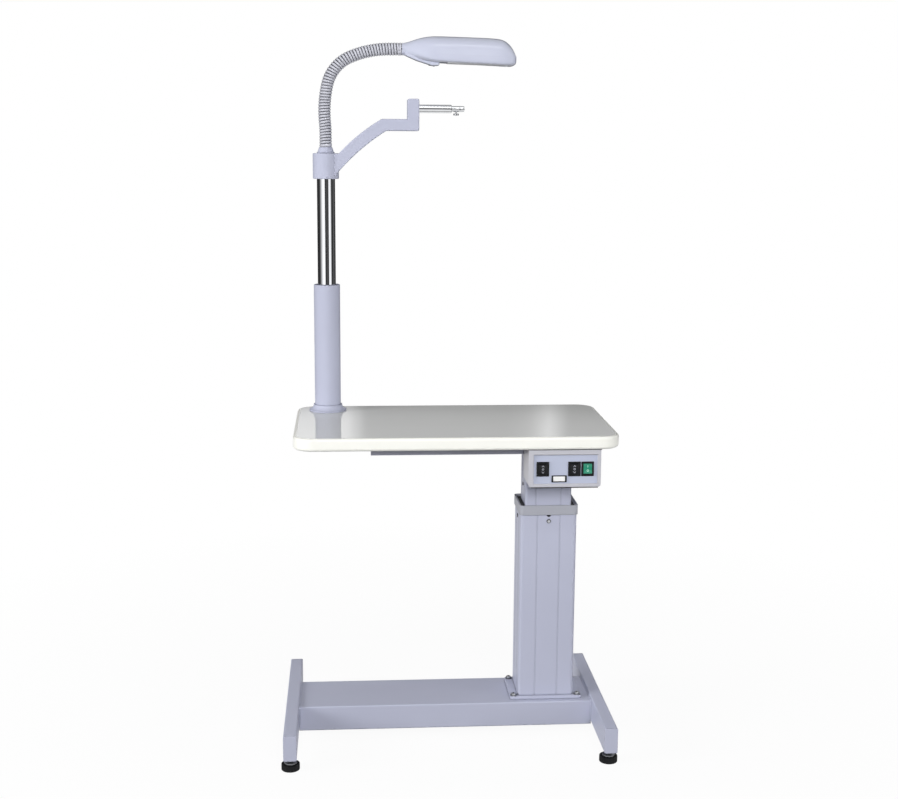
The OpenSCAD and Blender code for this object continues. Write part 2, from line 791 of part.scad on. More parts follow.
rocker_room = 0.3;
rocker_end_room = 1.5;
axle_r = 1.5;
axle_in = 3;
frame_r = 1;
module switch_frames() {
    cavity_w = rocker_w + 2 * rocker_room;
    cavity_h = rocker_h + 2 * rocker_end_room;
    color(black_plastic) for (x = [left_switch_x, right_switch_x, power_switch_x]) on_panel(x, switch_y)
        difference() {
            union() {
                linear_extrude(frame_t) rounded(switch_w, switch_h, frame_r);
                translate([0, 0, -frame_body_depth]) linear_extrude(frame_body_depth)
                    square([frame_body_w, frame_body_h], center = true);
            }
            translate([0, 0, -axle_in - 2 * axle_r - room]) linear_extrude(frame_body_depth)
                square([cavity_w, cavity_h], center = true);
            translate([0, 0, -axle_in]) rotate([0, 90, 0])
                cylinder(r = axle_r + run_gap, h = frame_body_w + 2 * over, center = true);
        }
}

// A rocker with a hollow face, on an axle in its frame; a turn below zero tips its upper end in
rocker_face_out = 5;
rocker_face_mid = 3.6;
module rocker(x, colour, turn) {
    half = rocker_h / 2;
    color(colour) on_panel(x, switch_y) translate([0, 0, -axle_in]) rotate([turn, 0, 0]) {
        rotate([0, 90, 0]) cylinder(r = axle_r, h = frame_body_w, center = true);
        rotate([90, 0, 90]) linear_extrude(rocker_w, center = true)
            polygon([[-half, rocker_face_out + axle_in], [-half, axle_in - frame_t / 2], [-axle_r, -axle_r],
                [axle_r, -axle_r], [half, axle_in - frame_t / 2], [half, rocker_face_out + axle_in],
                [0, rocker_face_mid + axle_in]]);
    }
}

module left_rocker() rocker(left_switch_x, black_plastic, 0);
module right_rocker() rocker(right_switch_x, black_plastic, 0);
module power_rocker() rocker(power_switch_x, green, -rocker_tilt);

window_depth = 6;
lens_t = 1.5;
lens_border = 3.8;
module window_frame() {
    color(black_plastic) on_panel(window_x, window_y) difference() {
        union() {
            linear_extrude(frame_t) rounded(window_w, window_h, frame_r);
            translate([0, 0, -window_depth]) linear_extrude(window_depth)
                square([window_w - 2 * frame_body_in, window_h - 2 * frame_body_in], center = true);
        }
        linear_extrude(frame_t + over)
            square([window_w - 2 * (lens_border - fit_gap), window_h - 2 * (lens_border - fit_gap) + 2 * ease],
                center = true);
    }
}

module window_lens() {
    color("white") on_panel(window_x, window_y) linear_extrude(lens_t)
        square([window_w - 2 * lens_border, window_h - 2 * lens_border + 2 * ease], center = true);
}

box_screw_head_h = 2;
module box_screws() {
    color(black_plastic) {
        at_box_front() at_box_screws() {
            translate([0, 0, -cover_t - box_screw_head_h])
                disc_with_eased_edges(box_screw_d, box_screw_head_h, ease / 2);
            translate([0, 0, -cover_t - box_screw_head_h / 2]) cylinder(d = box_screw_d, h = 3 * box_screw_d);
            translate([0, 0, sheet_t]) difference() {
                hex(2 * box_screw_d, box_screw_d);
                translate([0, 0, -over]) cylinder(r = box_screw_d / 2 + run_gap, h = box_screw_d + 2 * over);
            }
        }
        at_column() at_side_screw() {
            disc_with_eased_edges(0.75 * side_screw_d, ease, ease / 3);
            translate([0, 0, -inner_wall - side_screw_d]) cylinder(d = side_screw_d, h = inner_wall + side_screw_d);
        }
    }
}

core_w = 56;
core_d = 44;
core_h = 48;
coil_out = 5;
module transformer() {
    color("#5A5D63") at_box_front() translate([-box_w / 2 + box_r + core_w / 2, box_d / 2, sheet_t]) {
        translate([-core_w / 2, -core_d / 2, 0]) cube([core_w, core_d, core_h]);
        translate([-core_w / 4, -core_d / 2 - coil_out, core_h / 4])
            cube([core_w / 2, core_d + 2 * coil_out, core_h / 2]);
    }
}

board_w = 76;
board_d = 50;
board_t = 1.6;
standoff = 8;
module control_board() {
    color("#2F6B3C") at_box_front() translate([box_w / 2 - box_r - board_w / 2, box_d / 2 + ease, sheet_t]) {
        translate([-board_w / 2, -board_d / 2, standoff]) cube([board_w, board_d, board_t]);
        for (x = [-1, 1], y = [-1, 1])
            translate([x * (board_w / 2 - standoff), y * (board_d / 2 - standoff), 0])
                cylinder(d = 0.75 * standoff, h = standoff);
    }
}

// Gland for the mains cord, in the back wall beside the column
gland_bore = 8;
gland_flat = 20;
gland_hex = 5;
gland_nose = 14;
module cable_gland() {
    color(black_plastic) at_gland() difference() {
        union() {
            hex(gland_flat, gland_hex);
            translate([0, 0, gland_hex]) cylinder(r = gland_flat / 2 - ease, h = gland_nose);
            translate([0, 0, -sheet_t - gland_hex]) cylinder(d = gland_d, h = sheet_t + gland_hex);
            translate([0, 0, -sheet_t - gland_hex]) hex(gland_flat, gland_hex);
        }
        translate([0, 0, -sheet_t - gland_hex - over])
            cylinder(d = gland_bore, h = sheet_t + 2 * gland_hex + gland_nose + 2 * over);
    }
}

// Post: a painted tube through the tabletop, a flared foot let into the laminate, a bush and the chrome tube
post_r = post_d / 2;
post_bore_r = post_r - post_wall;
mast_r = mast_d / 2;
rim = 3;
module post_outer_tube() {
    color(paint) at_post() translate([0, 0, table_under]) rotate_extrude() {
        translate([post_bore_r, 0]) square([post_wall, table_t + post_h - post_wall / 2]);
        translate([post_bore_r + post_wall / 2, table_t + post_h - post_wall / 2]) circle(post_wall / 2);
    }
}

foot_edge = 3;
module post_foot() {
    foot_r = post_foot_d / 2;
    bore_r = post_r + fit_gap;
    color(paint) at_post() translate([0, 0, table_h]) rotate_extrude()
        polygon(concat([[bore_r, -laminate_t], [foot_r, -laminate_t]],
            arc_points([foot_r, foot_edge], [bore_r + foot_edge, post_foot_h], foot_edge, 10),
            [[bore_r, post_foot_h]]));
}

module post_bush() {
    color(black_plastic) at_post() translate([0, 0, table_h + post_h - rim - bush_len])
        ring(post_bore_r - fit_gap, mast_r + run_gap, bush_len);
}

collar_shelf = 4;
mast_top = collar_top - collar_shelf;
module chrome_tube() {
    color("silver") at_post() translate([0, 0, mast_top - mast_len]) ring(mast_r, mast_r - mast_wall, mast_len);
}

// Phoropter arm: one casting, a collar that hangs on the chrome tube's end and a cranked bar
root_x = 19;
root_z = 3;
elbow_low_share = 0.65;
elbow_high_share = 0.6;
low_sag = 7;
high_sag = 5;
pin_height = 53;
pin_seat = 24;
pin_seat_d = 16;
corner_r = 4;
function corner(x, y, from) = [for (i = [0 : 4]) [x, y] + corner_r * [cos(from + i * 22.5), sin(from + i * 22.5)]];
module arm_outline() {
    polygon(concat(
        arc_points([root_x, root_z], [elbow_low_share * arm_reach, bar_rise], low_sag, 12),
        corner(arm_reach - corner_r, bar_rise + corner_r, -90),
        corner(arm_reach - corner_r, bar_rise + upright_h - corner_r, 0),
        corner(arm_reach - upright_w + corner_r, bar_rise + upright_h - corner_r, 90),
        [[arm_reach - upright_w, bar_rise + bar_h]],
        arc_points([elbow_high_share * arm_reach, bar_rise + bar_h], [collar_d / 2, collar_h], -high_sag, 12),
        [[root_x, collar_h]]));
}

collar_notch = 4;
module phoropter_arm() {
    color(paint) at_post() translate([0, 0, collar_foot]) difference() {
        union() {
            cylinder(d = collar_d, h = collar_h);
            rotate([90, 0, 0]) linear_extrude(arm_t, center = true) arm_outline();
        }
        translate([0, 0, -over]) cylinder(r = mast_r + run_gap, h = collar_h - collar_shelf + over);
        cylinder(r = mast_r - mast_wall + slide_gap, h = collar_h + over);
        translate([arm_reach - pin_seat, 0, bar_rise + pin_height]) rotate([0, 90, 0])
            cylinder(r = pin_seat_d / 2 + run_gap, h = pin_seat + over);
        translate([-collar_notch, -collar_d / 2, 0]) cube([collar_notch, collar_d / 4, 2 * collar_notch], center = true);
    }
}

knob_in_share = 0.36;
cross_hole_share = 0.65;
cross_hole_d = 4;
lock_d = 4.4;
lock_bite = 6;
module at_pin() at_post() translate([arm_reach, 0, collar_foot + bar_rise + pin_height]) children();

module arm_pin() {
    step = (pin_d - tip_d) / 4;
    tip_end = pin_len + tip_len;
    color("silver") at_pin() difference() {
        rotate([0, 90, 0]) translate([0, 0, -pin_seat]) rotate_extrude()
            polygon([[0, 0], [pin_seat_d / 2, 0], [pin_seat_d / 2, pin_seat], [pin_d / 2, pin_seat],
                [pin_d / 2, pin_seat + pin_len - step],
                [pin_d / 2 - step, pin_seat + pin_len], [tip_d / 2, pin_seat + pin_len],
                [tip_d / 2, pin_seat + tip_end - ease], [tip_d / 2 - ease, pin_seat + tip_end],
                [0, pin_seat + tip_end]]);
        translate([pin_len + cross_hole_share * tip_len, 0, 0]) rotate([90, 0, 0])
            cylinder(d = cross_hole_d, h = tip_d + 2 * over, center = true);
        translate([pin_len + knob_in_share * tip_len, 0, -tip_d / 2 - over])
            cylinder(r = lock_d / 2 + run_gap, h = lock_bite + over);
    }
}

knob_h = 5;
knob_stem = 3.5;
module pin_lock_screw() {
    color("silver") at_pin() translate([pin_len + knob_in_share * tip_len, 0, -tip_d / 2]) {
        translate([0, 0, -knob_stem]) cylinder(d = lock_d, h = knob_stem + lock_bite - room);
        translate([0, 0, -knob_stem - knob_h]) disc_with_eased_edges(knob_d / 2, knob_h, ease / 2);
    }
}

// Lamp: a cone with a spigot in the chrome tube, the gooseneck, and the two-part head
cone_foot_h = 2.5;
spigot_len = 25;
cable_bore = 10;
module lamp_cone() {
    color(paint) at_post() translate([0, 0, collar_top]) difference() {
        union() {
            cylinder(d = cone_d, h = cone_foot_h);
            translate([0, 0, cone_foot_h]) rotate_extrude()
                polygon([[0, 0], [cone_d / 2 - ease, 0], [neck_d / 2 + ease / 3, cone_h - cone_foot_h],
                    [0, cone_h - cone_foot_h]]);
            translate([0, 0, -spigot_len]) cylinder(r = mast_r - mast_wall - run_gap, h = spigot_len);
        }
        translate([0, 0, -spigot_len - over]) cylinder(d = cable_bore, h = spigot_len + cone_h + 2 * over);
    }
}

// The gooseneck rises, leans left a little, bends right in three arcs of [radius, degrees], and ends straight
neck_rise = 31;
neck_lean_r = 312;
neck_low_r = 285;
neck_mid_r = 93.6;
neck_high_r = 242;
neck_bends = [[-neck_lean_r, -5], [neck_low_r, 18], [neck_mid_r, 54], [neck_high_r, 22.5]];
neck_end = 31;
rib_gap = 6.8;
rib_depth = 2.2;

// Length and turn up to the start of bend i, and the point and heading there
function bend_len(i) = neck_bends[i][0] * neck_bends[i][1] * PI / 180;
function len_to(i) = i <= 0 ? neck_rise : len_to(i - 1) + bend_len(i - 1);
function turn_to(i) = i <= 0 ? 0 : turn_to(i - 1) + neck_bends[i - 1][1];
function after_arc(p, turn, radius, more) =
    p + radius * [cos(turn) - cos(turn + more), sin(turn + more) - sin(turn)];
function point_to(i) = i <= 0 ? [0, neck_rise]
    : after_arc(point_to(i - 1), turn_to(i - 1), neck_bends[i - 1][0], neck_bends[i - 1][1]);
bends = len(neck_bends);
neck_len = len_to(bends) + neck_end;

// [x, z, heading from upright] at the distance s along the gooseneck
function neck_at(s, i = 0) = s <= neck_rise ? [0, s, 0]
    : i >= bends ? let(p = point_to(bends), turn = turn_to(bends), more = s - len_to(bends))
        [p[0] + more * sin(turn), p[1] + more * cos(turn), turn]
    : s <= len_to(i + 1) ? let(more = (s - len_to(i)) * 180 / PI / neck_bends[i][0],
        p = after_arc(point_to(i), turn_to(i), neck_bends[i][0], more)) [p[0], p[1], turn_to(i) + more]
    : neck_at(s, i + 1);

sides = 8;
function neck_ring(s, r) = let(at = neck_at(s))
    [for (k = [0 : sides - 1]) let(a = 360 * (k + 0.5) / sides, across = r / cos(180 / sides) * cos(a))
        [at[0] + across * cos(at[2]), r / cos(180 / sides) * sin(a), at[1] - across * sin(at[2])]];

ribs = round(neck_len / rib_gap);
module gooseneck() {
    step = neck_len / ribs / 2;
    stations = [for (i = [0 : 2 * ribs]) i];
    outside = [for (i = stations) each neck_ring(i * step, neck_d / 2 - (i % 2 == 0 ? rib_depth : 0))];
    inside = [for (i = stations) each neck_ring(i * step, neck_bore / 2)];
    rings = len(stations);
    inner = rings * sides;
    function side_faces(first, flip) = [for (i = [0 : rings - 2], k = [0 : sides - 1])
        let(a = first + i * sides + k, b = first + i * sides + (k + 1) % sides)
            each flip ? [[a, b, b + sides], [a, b + sides, a + sides]]
                : [[b, a, a + sides], [b, a + sides, b + sides]]];
    function end_faces(first, flip) = [for (k = [0 : sides - 1])
        let(a = first + k, b = first + (k + 1) % sides)
            each flip ? [[a, b, b + inner], [a, b + inner, a + inner]]
                : [[b, a, a + inner], [b, a + inner, b + inner]]];
    color("#B4B7C6") at_post() translate([0, 0, collar_top + cone_h])
        polyhedron(concat(outside, inside), concat(side_faces(0, false), side_faces(inner, true),
            end_faces(0, true), end_faces((rings - 1) * sides, false)));
}

// The lamp head lies along the end of the gooseneck. Shares of its length, half width, height above and
// depth below the neck's middle, and seam drop, with the squareness of the upper and lower half
neck_r = 14.4;
head_droop = 1.5;
seam_drop = 12;
head_shares = [
    [0, 0, 0, 0, 0, 2, 2],
    [0.03, 0.02, 0.03, 0.02, 0.04, 2, 2],
    [0.08, 0.16, 0.28, 0.25, 0.16, 2, 2.1],
    [0.13, 0.38, 0.56, 0.5, 0.36, 2.1, 2.3],
    [0.19, 0.64, 0.81, 0.76, 0.62, 2.2, 2.8],
    [0.26, 0.86, 0.96, 0.9, 0.86, 2.3, 4],
    [0.33, 0.97, 0.99, 0.94, 1, 2.4, 5],
    [0.46, 1, 1, 0.96, 1, 2.5, 6],
    [0.84, 0.98, 0.99, 1.06, 1, 2.5, 6],
    [0.89, 0.94, 0.77, 1.09, 1, 2.5, 6],
    [0.93, 0.86, 0.4, 1.11, 1, 2.4, 5],
    [0.965, 0.72, -0.2, 1.08, 1, 2.3, 4.5],
    [0.985, 0.56, -0.78, 0.96, 1, 2.2, 4],
    [1, 0.34, -1.32, 0.62, 1, 2, 3]];
head_sides = 24;
function power_of(v, n) = sign(v) * pow(abs(v), 2 / n);
// The first ring lies in the plane of the gooseneck's end, which the droop tilts against the head
function head_ring(row, skin) = let(u = run_gap + skin + row[0] * (head_len - 2 * skin),
    half = neck_r + row[1] * (head_w / 2 - neck_r) - skin,
    seam = -row[4] * seam_drop,
    up = neck_r + row[2] * (head_top - neck_r) - seam - skin,
    down = neck_r + row[3] * (head_bottom - neck_r) + seam - skin,
    tilt = row[0] > 0 ? 0 : tan(head_droop + 90 - turn_to(bends)))
    [for (k = [0 : head_sides - 1]) let(a = 360 * k / head_sides, n = sin(a) >= 0 ? row[5] : row[6],
        w = seam + (sin(a) >= 0 ? up : down) * power_of(sin(a), n))
        [u - w * tilt, half * power_of(cos(a), n), w]];

module head_solid(skin) {
    rows = len(head_shares);
    polyhedron([for (row = head_shares) each head_ring(row, skin)], concat(
        [[for (k = [0 : head_sides - 1]) k]],
        [[for (k = [head_sides - 1 : -1 : 0]) (rows - 1) * head_sides + k]],
        [for (i = [0 : rows - 2], k = [0 : head_sides - 1])
            let(a = i * head_sides + k, b = i * head_sides + (k + 1) % head_sides)
                each [[b, a, a + head_sides], [b, a + head_sides, b + head_sides]]]));
}

module at_head() {
    end = neck_at(neck_len);
    at_post() translate([end[0], 0, collar_top + cone_h + end[1]]) rotate([0, head_droop, 0]) children();
}

// Everything above the seam, which slopes down from the neck and then runs level
seam_level_share = 0.33;
module above_seam() {
    rotate([90, 0, 0]) linear_extrude(2 * head_w, center = true)
        polygon([[-head_w, 0], [0, 0], [seam_level_share * head_len, -seam_drop], [2 * head_len, -seam_drop],
            [2 * head_len, 2 * head_top], [-head_w, 2 * head_top]]);
}

module head_hollow() {
    head_solid(head_wall);
    rotate([0, 90, 0]) translate([0, 0, -over]) cylinder(d = cable_bore, h = head_wall + 2 * over);
}

module lamp_upper_shell() {
    color(paint) at_head() intersection() {
        difference() {
            head_solid(0);
            head_hollow();
        }
        above_seam();
    }
}

// Switch pod under the head's rear, and the window for the diffuser
pod_w = 30;
pod_from_share = 0.03;
pod_mid_share = 0.13;
pod_to_share = 0.33;
pod_low = 7;
rocker_u_share = 0.265;
small_rocker_l = 14;
small_rocker_w = 9.4;
small_room = 0.4;
axle_bite = 3;
small_axle_z = -head_bottom - pod_low + 3 * small_room + axle_r;
window_from_share = 0.4;
window_to_share = 0.935;
diffuser_half_share = 0.66;
module pod() {
    from = pod_from_share * head_len;
    mid = pod_mid_share * head_len;
    to = pod_to_share * head_len;
    low = head_bottom + pod_low;
    rotate([90, 0, 0]) linear_extrude(pod_w, center = true)
        polygon([[from, -neck_r / 2], [from, -neck_r], [mid, (-neck_r - low) / 2], [to - pod_w / 2, -low],
            [to - ease, -low + ease], [to, -low + 2 * ease], [to, -neck_r]]);
}

module diffuser_2d(more) {
    from = window_from_share * head_len;
    to = window_to_share * head_len;
    translate([(from + to) / 2, 0])
        square([to - from + 2 * more, diffuser_half_share * head_w + 2 * more], center = true);
}

module lamp_lower_shell() {
    color(paint) at_head() difference() {
        union() {
            head_solid(0);
            pod();
        }
        head_hollow();
        above_seam();
        translate([0, 0, -2 * head_bottom]) linear_extrude(2 * head_bottom - seam_drop) diffuser_2d(0);
        translate([rocker_u_share * head_len, 0, small_axle_z]) {
            cube([small_rocker_l + 4 * small_room, small_rocker_w + 2 * small_room, head_bottom], center = true);
            rotate([90, 0, 0])
                cylinder(r = axle_r + run_gap, h = small_rocker_w + 4 * axle_bite, center = true);
        }
    }
}

diffuser_t = 2;
diffuser_lip = 2.5;
module lamp_diffuser() {
    inside = -head_bottom + head_wall + slide_gap;
    color("#F4F5F2") at_head() {
        translate([0, 0, -head_bottom + fit_gap]) linear_extrude(head_wall + slide_gap - fit_gap + diffuser_t)
            diffuser_2d(-slide_gap);
        translate([0, 0, inside + ease]) linear_extrude(diffuser_t - ease) diffuser_2d(diffuser_lip - ease);
    }
}

// Twin-leg fluorescent tube in its holder, which stands on the lower shell
holder_from_share = 0.32;
holder_len = 18;
holder_w = 30;
holder_h = 18;
base_len = 14;
leg_len = 135;
lamp_z = -14;
module lamp_holder() {
    seat = -head_bottom + head_wall + slide_gap + ease;
    from = holder_from_share * head_len;
    color("white") at_head() {
        translate([from, -holder_w / 2, lamp_z - holder_h / 2]) cube([holder_len, holder_w, holder_h]);
        translate([from, -holder_w / 4, seat]) cube([holder_len, holder_w / 2, lamp_z - seat]);
    }
}

module lamp_tube() {
    from = holder_from_share * head_len + holder_len;
    color("#F2F4F7") at_head() {
        translate([from, -lamp_d * 1.1, lamp_z - lamp_d / 2]) cube([base_len, lamp_d * 2.2, lamp_d]);
        for (y = [-1, 1]) translate([from + base_len, y * lamp_d * 0.6, lamp_z]) rotate([0, 90, 0])
            cylinder(d = lamp_d, h = leg_len);
        translate([from + base_len + leg_len - lamp_d, 0, lamp_z]) rotate([90, 0, 0])
            cylinder(d = lamp_d / 2, h = lamp_d, center = true);
    }
}

module lamp_rocker() {
    half = small_rocker_l / 2;
    color(black_plastic) at_head() translate([rocker_u_share * head_len, 0, small_axle_z])
        rotate([90, rocker_tilt, 0]) {
            cylinder(r = axle_r, h = small_rocker_w + 2 * (small_room + axle_bite), center = true);
            linear_extrude(small_rocker_w, center = true)
                polygon([[-half, -2 * ease], [0, -axle_r - ease / 2], [half, -2 * ease], [half, 0],
                    [axle_r, axle_r], [-axle_r, axle_r], [-half, 0]]);
        }
}

left_rail();
right_rail();
cross_beam();
rail_end_caps();
foot_nuts();
foot_pad_front_left();
foot_stem_front_left();
foot_pad_front_right();
foot_stem_front_right();
foot_pad_back_left();
foot_stem_back_left();
foot_pad_back_right();
foot_stem_back_right();
column_flange();
flange_bolts();
outer_column();
column_cap();
column_screws();
upper_guide();
lift_motor();
drive_tube();
lift_spindle();
inner_column();
lower_guide();
column_top_plate();
table_bracket();
push_tube();
tabletop_core();
tabletop_laminate();
tabletop_edge();
table_screws();
box_shell();
box_covers();
box_bezel();
switch_panel();
box_screws();
switch_frames();
window_frame();
window_lens();
transformer();
control_board();
cable_gland();
left_rocker();
right_rocker();
power_rocker();
post_foot();
post_outer_tube();
post_bush();
chrome_tube();
phoropter_arm();
arm_pin();
pin_lock_screw();
lamp_cone();
gooseneck();
lamp_upper_shell();
lamp_lower_shell();
lamp_diffuser();
lamp_tube();
lamp_holder();
lamp_rocker();
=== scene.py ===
import bmesh
import bpy
import math
from mathutils import Matrix, Vector


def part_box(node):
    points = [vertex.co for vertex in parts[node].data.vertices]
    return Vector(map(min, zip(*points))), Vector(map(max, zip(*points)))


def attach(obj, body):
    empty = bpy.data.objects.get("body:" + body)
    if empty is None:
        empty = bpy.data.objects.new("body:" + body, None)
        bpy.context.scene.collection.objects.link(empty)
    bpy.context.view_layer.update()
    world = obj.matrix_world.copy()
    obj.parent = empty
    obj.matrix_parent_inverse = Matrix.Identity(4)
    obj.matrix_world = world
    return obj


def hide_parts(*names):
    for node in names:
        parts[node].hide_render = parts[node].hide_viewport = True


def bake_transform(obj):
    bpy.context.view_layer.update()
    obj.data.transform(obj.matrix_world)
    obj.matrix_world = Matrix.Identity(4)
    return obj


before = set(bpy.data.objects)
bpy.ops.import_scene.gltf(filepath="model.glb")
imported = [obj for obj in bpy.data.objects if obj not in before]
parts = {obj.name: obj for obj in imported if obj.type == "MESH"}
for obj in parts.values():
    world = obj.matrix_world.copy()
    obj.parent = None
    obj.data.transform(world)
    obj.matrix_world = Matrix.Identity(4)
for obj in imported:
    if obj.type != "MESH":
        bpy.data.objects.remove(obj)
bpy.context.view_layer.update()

# Photographer's camera: a 55 mm lens on a full-frame body, held just under standing eye height,
# a little to the left of the table and tipped down ten degrees, 3.2 m away.
eye = Vector((-0.2333, -3.1893, 1.3966))
turned, tipped, rolled = math.radians(4.254), math.radians(10.362), math.radians(0.391)
ahead = Vector((math.sin(turned) * math.cos(tipped), math.cos(turned) * math.cos(tipped), -math.sin(tipped)))
level = Vector((math.cos(turned), -math.sin(turned), 0))
upright = level.cross(ahead)
to_right = level * math.cos(rolled) + upright * math.sin(rolled)
to_top = upright * math.cos(rolled) - level * math.sin(rolled)
lens = bpy.data.cameras.new("camera")
lens.sensor_width = 36
lens.lens = 55.257
lens.clip_end = 60
camera = bpy.data.objects.new("camera", lens)
camera.matrix_world = Matrix.Translation(eye) @ Matrix((to_right, to_top, -ahead)).transposed().to_4x4()
bpy.context.scene.collection.objects.link(camera)
bpy.context.scene.camera = camera
bpy.context.scene.view_settings.view_transform = "Standard"


# Studio floor: a sheet of white background paper on the ground, rolled out far past the object. It is
# matte, keeps a pale trace of the shadow under the feet, and throws only a little light back up.
def linear(code):
    """A colour written as #RRGGBB in the values that the shaders use."""
    shares = [int(code[i:i + 2], 16) / 255 for i in (1, 3, 5)]
    return [s / 12.92 if s <= 0.04045 else ((s + 0.055) / 1.055) ** 2.4 for s in shares] + [1]


def add_node(tree, kind, inputs=None, **settings):
    """One node, with its settings. An input is a number or colour, or another node's output."""
    node = tree.nodes.new("ShaderNode" + kind)
    for name, value in settings.items():
        setattr(node, name, value)
    for socket, value in (inputs or {}).items():
        if isinstance(value, bpy.types.NodeSocket):
            tree.links.new(value, node.inputs[socket])
        else:
            node.inputs[socket].default_value = value
    return node


def new_finish(name, colour, roughness, metallic=0.0):
    """A named finish with its shader, and the tree that its pattern nodes go in."""
    finish = bpy.data.materials.new(name)
    finish.use_nodes = True
    shader = finish.node_tree.nodes["Principled BSDF"]
    shader.inputs["Base Color"].default_value = linear(colour)
    shader.inputs["Roughness"].default_value = roughness
    shader.inputs["Metallic"].default_value = metallic
    return finish, finish.node_tree, shader


def add_object(shape, name, *finishes):
    """The finished bmesh as an object at the origin."""
    mesh = bpy.data.meshes.new(name)
    shape.to_mesh(mesh)
    shape.free()
    for finish in finishes:
        mesh.materials.append(finish)
    made = bpy.data.objects.new(name, mesh)
    bpy.context.scene.collection.objects.link(made)
    return made


paper, tree, shader = new_finish("white_background_paper", "#F4F4F4", 0.9)
shader.inputs["Specular IOR Level"].default_value = 0.1
fibres = add_node(tree, "TexNoise", {"Vector": add_node(tree, "TexCoord").outputs["Object"], "Scale": 900.0})
relief = add_node(tree, "Bump", {"Height": fibres.outputs["Fac"], "Strength": 0.1, "Distance": 0.0002})
tree.links.new(relief.outputs["Normal"], shader.inputs["Normal"])
rays = add_node(tree, "LightPath")
tone = add_node(tree, "Mix", {"Factor": rays.outputs["Is Diffuse Ray"], "A": linear("#F8F8F8"),
                              "B": linear("#6C6C6C")}, data_type="RGBA")
tree.links.new(tone.outputs["Result"], shader.inputs["Base Color"])
glow = add_node(tree, "Emission", {"Color": (1, 1, 1, 1), "Strength": 1.0})


def straight_rays(tree):
    """One for the rays of the camera, of mirror shine and through glass, and zero for diffuse light."""
    rays = add_node(tree, "LightPath")
    direct = add_node(tree, "Math", {0: rays.outputs["Is Camera Ray"], 1: rays.outputs["Is Glossy Ray"]},
                      operation="MAXIMUM")
    direct = add_node(tree, "Math", {0: direct.outputs[0], 1: rays.outputs["Is Transmission Ray"]},
                      operation="MAXIMUM")
    return direct.outputs[0]


apart = add_node(tree, "VectorMath", {0: add_node(tree, "TexCoord").outputs["Object"]}, operation="LENGTH")
fading = add_node(tree, "MapRange", {"Value": apart.outputs["Value"], "From Min": 0.6, "From Max": 1.9,
                                     "To Min": 0.94, "To Max": 1.0})
seen = add_node(tree, "Math", {0: straight_rays(tree), 1: fading.outputs[0]}, operation="MULTIPLY")
both = add_node(tree, "MixShader", {0: seen.outputs[0], 1: shader.outputs[0], 2: glow.outputs[0]})
tree.links.new(both.outputs[0], tree.nodes["Material Output"].inputs["Surface"])
shape = bmesh.new()
bmesh.ops.create_grid(shape, x_segments=1, y_segments=1, size=14)
floor = add_object(shape, "floor", paper)

# Studio light: a dim, even surround, soft boxes on the left and right, above the camera and behind, and
# a narrow strip high up in front that draws the shine on the lamp. Camera and reflections see it white.
world = bpy.data.worlds.new("studio")
bpy.context.scene.world = world
world.use_nodes = True
tree = world.node_tree
level_of_light = add_node(tree, "MapRange", {"Value": straight_rays(tree), "To Min": 0.12, "To Max": 1.0})
tree.links.new(level_of_light.outputs[0], tree.nodes["Background"].inputs["Strength"])
tree.nodes["Background"].inputs["Color"].default_value = (1, 1, 1, 1)


def soft_box(name, place, aim, width, height, watts):
    """A rectangular soft box that faces a point."""
    lamp = bpy.data.lights.new(name, "AREA")
    lamp.shape = "RECTANGLE"
    lamp.size, lamp.size_y, lamp.energy = width, height, watts
    stand = bpy.data.objects.new(name, lamp)
    facing = (Vector(aim) - Vector(place)).to_track_quat("-Z", "Y")
    stand.matrix_world = Matrix.Translation(place) @ facing.to_matrix().to_4x4()
    bpy.context.scene.collection.objects.link(stand)
    stand.visible_camera = False
    stand.visible_glossy = name == "strip_light"


soft_box("soft_box_front", (0.2, -3.4, 2.0), (0, 0, 0.8), 1.6, 1.2, 78)
soft_box("soft_box_left", (-4.4, -1.6, 1.7), (0, 0, 0.8), 2.2, 1.6, 155)
soft_box("soft_box_right", (4.2, -2.2, 1.2), (0, 0, 0.6), 1.6, 2.0, 50)
soft_box("strip_light", (0.1, -2.5, 4.2), (0.1, 0.2, 1.7), 1.8, 0.25, 11)
soft_box("soft_box_back", (0.4, 4.4, 1.0), (0, 0, 0.8), 2.6, 1.6, 66)

# Light tent: a tall ring of white cloth with dark and grey gaps, which only the shine of the metal
# and of the glossy top picks up. Its gaps stand for the dark gear around the camera.
tent_cloth = bpy.data.materials.new("tent_cloth")
tent_cloth.use_nodes = True
tree = tent_cloth.node_tree
tree.nodes.remove(tree.nodes["Principled BSDF"])
where = add_node(tree, "SeparateXYZ", {0: add_node(tree, "TexCoord").outputs["Object"]})
# Bearing from 0 to 1, with 0.5 straight behind the object and 0 or 1 straight behind the camera
bearing = add_node(tree, "Math", {0: where.outputs["X"], 1: where.outputs["Y"]}, operation="ARCTAN2")
bearing = add_node(tree, "MapRange", {"Value": bearing.outputs[0], "From Min": -math.pi, "From Max": math.pi})
bands = add_node(tree, "ValToRGB", {"Fac": bearing.outputs[0]})
tent_shades = [
    (-180, 0.05), (-170, 0.03), (-163, 0.06), (-158, 1.1), (-152, 1.4), (-130, 1.3), (-118, 0.9),
    (-108, 0.45), (-98, 0.30), (-90, 0.04), (-30, 0.04), (-10, 1.4), (-2.6, 1.4), (-2.1, 0.53),
    (8.7, 0.53), (9.1, 0.66), (10.6, 0.70), (11.0, 1.25), (12.2, 1.25), (12.6, 0.53), (40, 0.5),
    (60, 0.04), (70, 0.05), (74, 0.34), (79, 0.05), (108, 0.03), (118, 0.6), (124, 1.2),
    (146, 1.3), (153, 0.10), (162, 0.03), (171, 0.10)]
